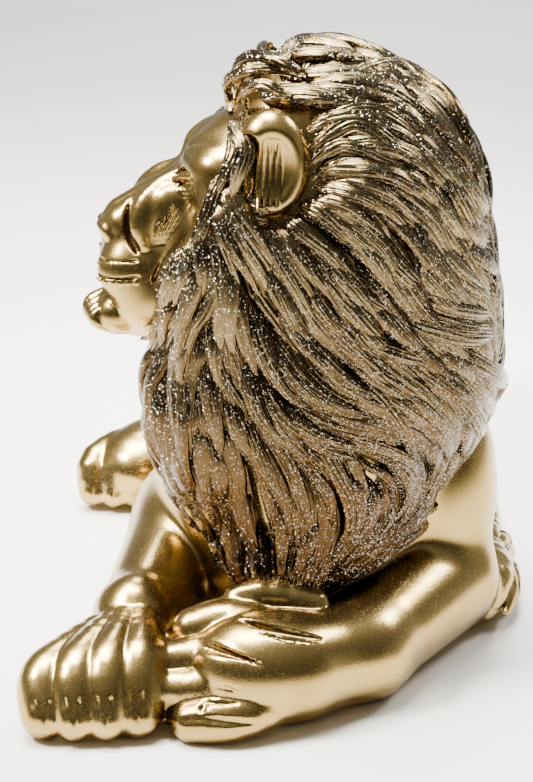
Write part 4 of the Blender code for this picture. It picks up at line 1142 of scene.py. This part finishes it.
# Of each lock: its width, how much prouder than most it stands, and places along its
# middle, across and up a plane that faces the viewer through the point aimed at.
LOCKS_SEEN = (
    (3.5, 0, (-11, 81, -9, 86, -6, 92, -4, 96.5, -1.5, 100, 1, 98)),
    (3, 0, (-2.5, 87.5, -0.5, 92.5, 1, 97, 3.5, 98)),
    (3.5, 0, (5, 89, 6, 93.5, 9.5, 97, 13.5, 100.5, 17.5, 101)),
    (3.5, 0, (9.5, 88.5, 13, 92.5, 16, 97.5, 20, 100, 23.5, 98)),
    (3.5, 0, (11.5, 86, 15, 90.5, 19.5, 95, 25.5, 97, 30.5, 97, 35, 95.5)),
    (3.5, 0, (9.5, 82, 16, 88.5, 21, 92, 27.5, 95, 34, 95, 39, 92, 43.5, 86.5)),
    (3.5, 0, (11.5, 81.5, 19.5, 86.5, 25.5, 89.5, 32.5, 91, 38.5, 89.5, 44, 84, 47.5, 78)),
    (4.5, 0, (13, 79, 22.5, 84, 30, 84.5, 37, 82, 43, 78, 47, 72.5)),
    (4, 0, (12, 75, 21, 79, 28.5, 79, 35.5, 76, 42, 71.5, 45.5, 66.5)),
    (5, 0, (12, 69, 21, 75, 27, 74.5, 34, 69.5, 40, 65.5, 43.5, 61.5)),
    (3.5, 0, (12, 65, 19, 70, 24.5, 69.5, 31, 66.5, 38.5, 63, 43.5, 58)),
    (4, 0, (11.5, 60, 19.5, 65, 25.5, 66, 32.5, 63.5, 39, 60, 44, 55, 46.5, 48.5)),
    (4, 0, (12, 56, 21, 59.5, 27.5, 60, 34, 57.5, 40, 53.5, 44, 48, 45.5, 40.5)),
    (5, 0, (10.5, 52, 19, 54.5, 24.5, 53.5, 30, 49, 34, 43.5, 37, 36.5)),
    (4, 0, (9.5, 53.5, 15.5, 51.5, 21, 47, 26.5, 41.5, 30.5, 34.5)),
    (4, 0, (5, 50.5, 9.5, 47, 15.5, 43, 21, 37, 26, 30)),
    (3.5, 6, (-8, 88.5, -2.5, 90, 3.5, 89, 8.5, 87.5, 12, 89.5)),
    (3, 6, (-10, 84, -6, 85.5, -1.5, 86.5, 4, 87.5, 9.5, 88.5)),
    (2.5, 6, (-5, 81, -1.5, 82.5, 2.5, 83, 6, 82, 9.5, 82.5)),
    (3.5, 1, (39, 92, 44, 86.5, 48.5, 81, 52.5, 73.5, 55.5, 66.5, 58, 59.5)),
    (3.5, 1, (47.5, 70, 51.5, 65.5, 54.5, 60, 57, 53.5, 59, 48, 62, 42.5)),
    (4, 1, (45.5, 66.5, 49, 61, 51.5, 55, 54.5, 48, 55.5, 42, 58.5, 35)),
    (4, 1, (50, 52, 52.5, 45, 55.5, 37.5, 59, 30.5, 62.5, 25, 64.5, 22)),
    (3.5, 1, (53, 76.5, 57, 71, 60.5, 65, 62, 58, 63, 50.5, 64.5, 43.5)),
    (3.5, 1, (62.5, 42, 65, 36.5, 66, 29, 66.5, 23)), (3, 0, (46, 46, 45.5, 40, 46, 35.5, 47.5, 32)),
    (3.5, 0, (47.5, 55, 49, 48, 48.5, 39, 47.5, 33.5, 49, 28.5)),
    (4.5, 1, (41.5, 29, 46.5, 25, 53, 23, 60, 22, 66, 22)),
    (6.5, 1, (38.5, 23, 45, 20, 52.5, 17.5, 60, 16.5, 66, 13)),
    (5, 1, (49.5, 14, 55.5, 10, 61.5, 5.5, 65, 1.5, 66, -3, 65, -8.5)),
    (4, 1, (46.5, 12, 53, 6, 58.5, -0.5, 62.5, -6, 63.5, -12.5, 62.5, -17.5)),
    (4, 1, (40, 10, 45.5, 5, 52.5, -0.5, 56.5, -7, 58.5, -14, 60, -19.5)),
    (4, 0, (38.5, 4, 44, -1, 50, -7.5, 54, -14, 56, -20.5)),
    (4, 0, (34, 1, 39.5, -3.5, 45.5, -10.5, 49.5, -17, 51.5, -23, 50, -27.5)),
    (4, 0, (24, 7, 30, 2, 35.5, -4.5, 39, -11, 41.5, -18.5, 42, -25.5)),
    (3.5, 0, (21, 1, 27, -3, 32.5, -10.5, 36, -17, 37, -23.5)),
    (2.5, 0, (22.5, -16, 27.5, -19.5, 32, -21.5, 34.5, -25.5, 34, -31.5, 31, -36)),
    (3.5, 0, (27, -10.5, 32.5, -14.5, 36.5, -20, 38, -27, 36, -33, 32, -37.5)),
    (3.5, 0, (15.5, -12, 21.5, -14.5, 24.5, -20, 26.5, -27, 27, -33, 25.5, -39, 22.5, -43)),
    (4, 0, (9.5, -9, 15.5, -14.5, 19.5, -22, 22.5, -30, 22.5, -37.5, 19.5, -44.5, 15.5, -52)),
    (4, 0, (5.5, -12, 9.5, -19, 15, -26, 18, -33.5, 18, -40.5, 15, -47.5, 11, -54.5)),
    (3.5, 1, (59, -21, 53.5, -25.5, 49, -28.5, 44, -33, 39, -35.5, 34, -37.5)),
    (3, 1, (58.5, -17.5, 56.5, -24, 54.5, -30, 54.5, -35)),
    (3.5, 1, (62.5, -17.5, 61, -25.5, 58.5, -33)),
    (4, 0, (51.5, -29, 47, -35, 41.5, -39, 34, -44.5, 26, -51.5, 19, -57.5)),
    (2.5, 0, (-30, -12, -28.5, -20, -26.5, -27, -23.5, -32.5, -20.5, -36.5)),
    (3, 0, (-30, -3.5, -28, -10.5, -25, -17.5, -21.5, -23.5, -17.5, -29, -15, -33.5)),
    (2.5, 0, (-26.5, -13.5, -24.5, -19.5, -22.5, -25)),
    (3, 0, (-24, -11, -20.5, -18.5, -17, -26, -15, -32, -13, -39, -11, -43)),
    (3.5, 0, (-19.5, -3, -17, -10.5, -15, -17.5, -13, -25, -10, -32, -7.5, -40.5, -7, -48.5, -6, -54.5)),
    (3.5, 0, (-15, -1.5, -11.5, -9, -8, -17.5, -5.5, -26, -3.5, -35, -2.5, -43.5, -1.5, -52)),
    (3.5, 0, (-10.5, -1.5, -5.5, -8.5, -2.5, -16, 0.5, -25, 2.5, -33.5, 3.5, -42, 2.5, -49)),
    (3.5, 0, (-6.5, -1.5, -1.5, -8.5, 3.5, -14.5, 7.5, -22, 9.5, -29, 11, -36.5, 9.5, -45, 7.5, -53.5)),
    (3.5, 0, (-1.5, -3, 5.5, -9, 11, -14.5, 16.5, -20.5, 19.5, -26, 20.5, -32)),
    (2.5, 0, (-7, -43.5, -7, -50, -5.5, -57.5)), (2.5, 0, (-2.5, -44.5, -2, -51.5, -0.5, -58.5)),
    (2.5, 0, (1.5, -43.5, 2, -50.5, 1.5, -58)), (3, 0, (13, -43.5, 11, -51.5, 8.5, -59)),
    (3, 0, (20, -43.5, 17, -50.5, 13, -57.5)),
    (4, 3, (-6, 80.5, -7, 73.5, -9.5, 67, -12, 60, -14.5, 53.5)),
    (4, 7, (-4, 78, -5, 72.5, -6, 66, -7.5, 60, -10, 53.5)),
    (3.5, 0, (-11, 64, -13.5, 58, -15.5, 50.5, -17.5, 43.5, -19, 36.5, -22.5, 30)),
    (3, 0, (-12, 55.5, -11.5, 49, -11, 42, -13, 35, -15, 26, -18, 20.5, -20.5, 13, -21, 3, -20, -5.5)),
    (4, 0, (-19, 37, -22, 31, -26.5, 25.5, -30.5, 20, -33.5, 13)),
    (4, 0, (-17.5, 29.5, -21.5, 23.5, -26, 16, -29, 9, -30.5, 1.5, -29.5, -5)),
    (3.5, 0, (-22.5, 27, -28, 21, -31, 14.5, -33, 8.5)),
    (3.5, 0, (-20.5, 16, -23, 8.5, -25, 0.5, -25, -8, -24, -15.5)),
    (3.5, 0, (-7.5, 48.5, -5, 43.5, -1.5, 37, 0.5, 30.5, 1.5, 24.5)),
    (3, 0, (-9, 43.5, -6, 38.5, -3, 33, -1, 26, 0.5, 18.5)),
    (3.5, 0, (-12, 42, -10, 36.5, -7.5, 29, -5, 22, -1.5, 14.5, 2.5, 7)),
    (3, 0, (-5.5, 48, -1.5, 44, 2, 39, 3.5, 33)),
    (3.5, 0, (-1.5, 45, 4, 40.5, 9.5, 35, 15.5, 29, 19.5, 22, 23, 14)),
    (3.5, 0, (4.5, 47.5, 10, 40.5, 16.5, 33.5, 23, 26, 28.5, 18.5)),
    (3.5, 0, (17, 40.5, 22.5, 34.5, 28.5, 27.5, 35, 23, 41, 19)),
    (3.5, 0, (24, 35, 30.5, 29, 37, 25, 43.5, 21)),
    (3, 0, (-13.5, 26, -11, 20.5, -10, 13, -8, 6, -5, 0, -1, -3.5)),
    (3, 0, (-14.5, 18, -13, 12, -11, 6, -7.5, -0.5, -4, -7, -1.5, -13)),
    (3, 0, (-17, 11, -15.5, 4.5, -13, -1.5, -9, -7.5, -6, -14.5)),
    (3, 0, (-18.5, 5, -17.5, -2.5, -16.5, -10, -14.5, -17.5)),
    (3.5, 0, (-7.5, 22.5, -4, 16, 0.5, 11.5, 5.5, 6, 10, 0, 16, -6)),
    (3.5, 0, (-1.5, 18, 4, 12, 10, 5, 16.5, -1, 23, -6.5)),
    (3.5, 0, (9.5, 26, 15.5, 20.5, 21.5, 14.5, 27.5, 11, 34, 9, 39.5, 7)),
    (3.5, 0, (15.5, 1.5, 21, -3.5, 27.5, -6.5, 34, -10.5, 38, -16)),
    (3.5, 0, (12, 17.5, 16.5, 11, 21, 5, 27, -0.5, 32, -6.5, 35.5, -13)),
    (3.5, 0, (1, 28, 7, 22, 13, 14.5, 18.5, 7, 23, 0)),
    (3.5, 0, (22.5, 20.5, 29, 15.5, 36, 12, 43.5, 9, 50, 3.5)),
    (3.5, 0, (-5, 34.5, -1.5, 27.5, 4, 20, 9, 13, 14.5, 6.5)),
    (4, 0, (30.5, 42, 35.5, 37, 40, 32, 45.5, 28.5)),
    (3.5, 0, (38, 53.5, 42, 48, 43, 40.5, 43.5, 33.5, 45.5, 28.5)),
    (3.5, 0, (-7.5, 55, -4, 53.5, -0.5, 52.5, 2, 51.5)),
    (3, 0, (-10.5, 53.5, -7, 51.5, -2.5, 49.5, 2, 49)),
)


def laid(places):
    """Where rays from the viewer through places on the view's plane meet the bed, or pass it."""
    lean = math.radians(VIEW_HEIGHT)
    ahead = np.array([0, math.cos(lean), -math.sin(lean)])
    upward = np.array([0, math.sin(lean), math.cos(lean)])
    eye = np.array(VIEW_TARGET) - ahead * VIEW_DISTANCE * UNITS_A_METRE
    p = np.array(VIEW_TARGET) + places[:, :1] * np.array([1.0, 0, 0]) + places[:, 1:] * upward
    way = unit_rows(p - eye)
    p = p - way * 120
    best, least = p.copy(), np.full(len(p), np.inf)
    for _ in range(60):
        off = np.maximum(hair_bed(p), 0)
        closer = off < least
        best[closer], least[closer] = p[closer], off[closer]
        p = p + way * off[:, None] * 0.8
    for _ in range(3):
        best = best - slope(hair_bed, best, 0.5) * hair_bed(best)[:, None]
    return best


def seen_locks(steps):
    """Lines, normals, widths and extra heights of the locks listed in LOCKS_SEEN."""
    flat = [smooth_curve(np.reshape(places, (-1, 2)), steps) for _, _, places in LOCKS_SEEN]
    p = laid(np.concatenate(flat))
    normals = slope(hair_bed, p, 1.0)
    rows = (len(LOCKS_SEEN), steps, 3)
    sizes = np.array([lock[:2] for lock in LOCKS_SEEN], float)
    return p.reshape(rows), normals.reshape(rows), sizes[:, 0], sizes[:, 1]


rng = np.random.default_rng(23)
line, normals, width, extra = seen_locks(SEEN_PLACES)
line, normals = finer(line, LOCK_STEPS), unit_rows(finer(normals, LOCK_STEPS))
along = np.linspace(0, 1, LOCK_STEPS)
taper = tapered(along, 0.35, 0.25, 0.5, 1.7)
size = rng.uniform(0.9, 1.2, len(line))[:, None] * width[:, None]
half_width = size * 0.66 * np.maximum(taper, 0.04)
half_thick = size * 0.52 * np.maximum(taper, 0.06) ** 0.8
proud = rng.uniform(1.4, 4.4, len(line)) + extra
proud = proud[:, None] * np.sin(np.pi * np.minimum(1, 0.08 + along * 0.84))
line = line + normals * (proud - 1.6 * (1 - np.minimum(1, along / 0.2)))[..., None]
parts = loft_locks(line, normals, half_width, half_thick, rng, 28, 6, SEEN_DEPTH, SEEN_STRAND)
lock_piece("mane_locks_seen", parts, glitter)


# The tail's tuft
# The brush at the tail's end, lying beside the left elbow and cast with the rest. Short
# curls overlap round its core, in plain lacquer, since no glitter was scattered here.
TUFT_CURLS = 34
TUFT_STEPS = 16              # rings along a curl
CURL_LENGTH = 17.0
CURL_WIDTH = 6.4
CURL_STRAND = 1.4

rng = np.random.default_rng(5)
turn = GOLDEN_TURN * np.arange(TUFT_CURLS)
start = np.linspace(-2, -44, TUFT_CURLS)         # where each curl grows, along the tail
along = np.linspace(0, 1, TUFT_STEPS)
spot = start[:, None] - CURL_LENGTH * along[None, :]
swing = turn[:, None] + rng.uniform(-1.2, 1.2, (TUFT_CURLS, 1)) * along[None, :]
swell = np.sin(np.pi * np.clip((6 - spot) / 76, 0.05, 0.95)) ** 0.5
reach = (TUFT_RADIUS + 1.4) * swell - 1.5 * along ** 2
out = np.stack([np.cos(swing), 0 * swing, np.abs(np.sin(swing))], -1)
core = np.stack([69 + 0.04 * spot, spot, TUFT_RADIUS * 0.55 + 0 * spot], -1)
girth = np.maximum(tapered(along, 0.4, 0.3, 0.4, 1.6), 0.05)
half_width = CURL_WIDTH / 2 * rng.uniform(0.8, 1.2, (TUFT_CURLS, 1)) * girth
parts = loft_locks(core + out * reach[..., None], out, half_width, half_width * 0.8, rng, 14, 4,
                   strand=CURL_STRAND)
lock_piece("tail_curls", parts, lacquer)
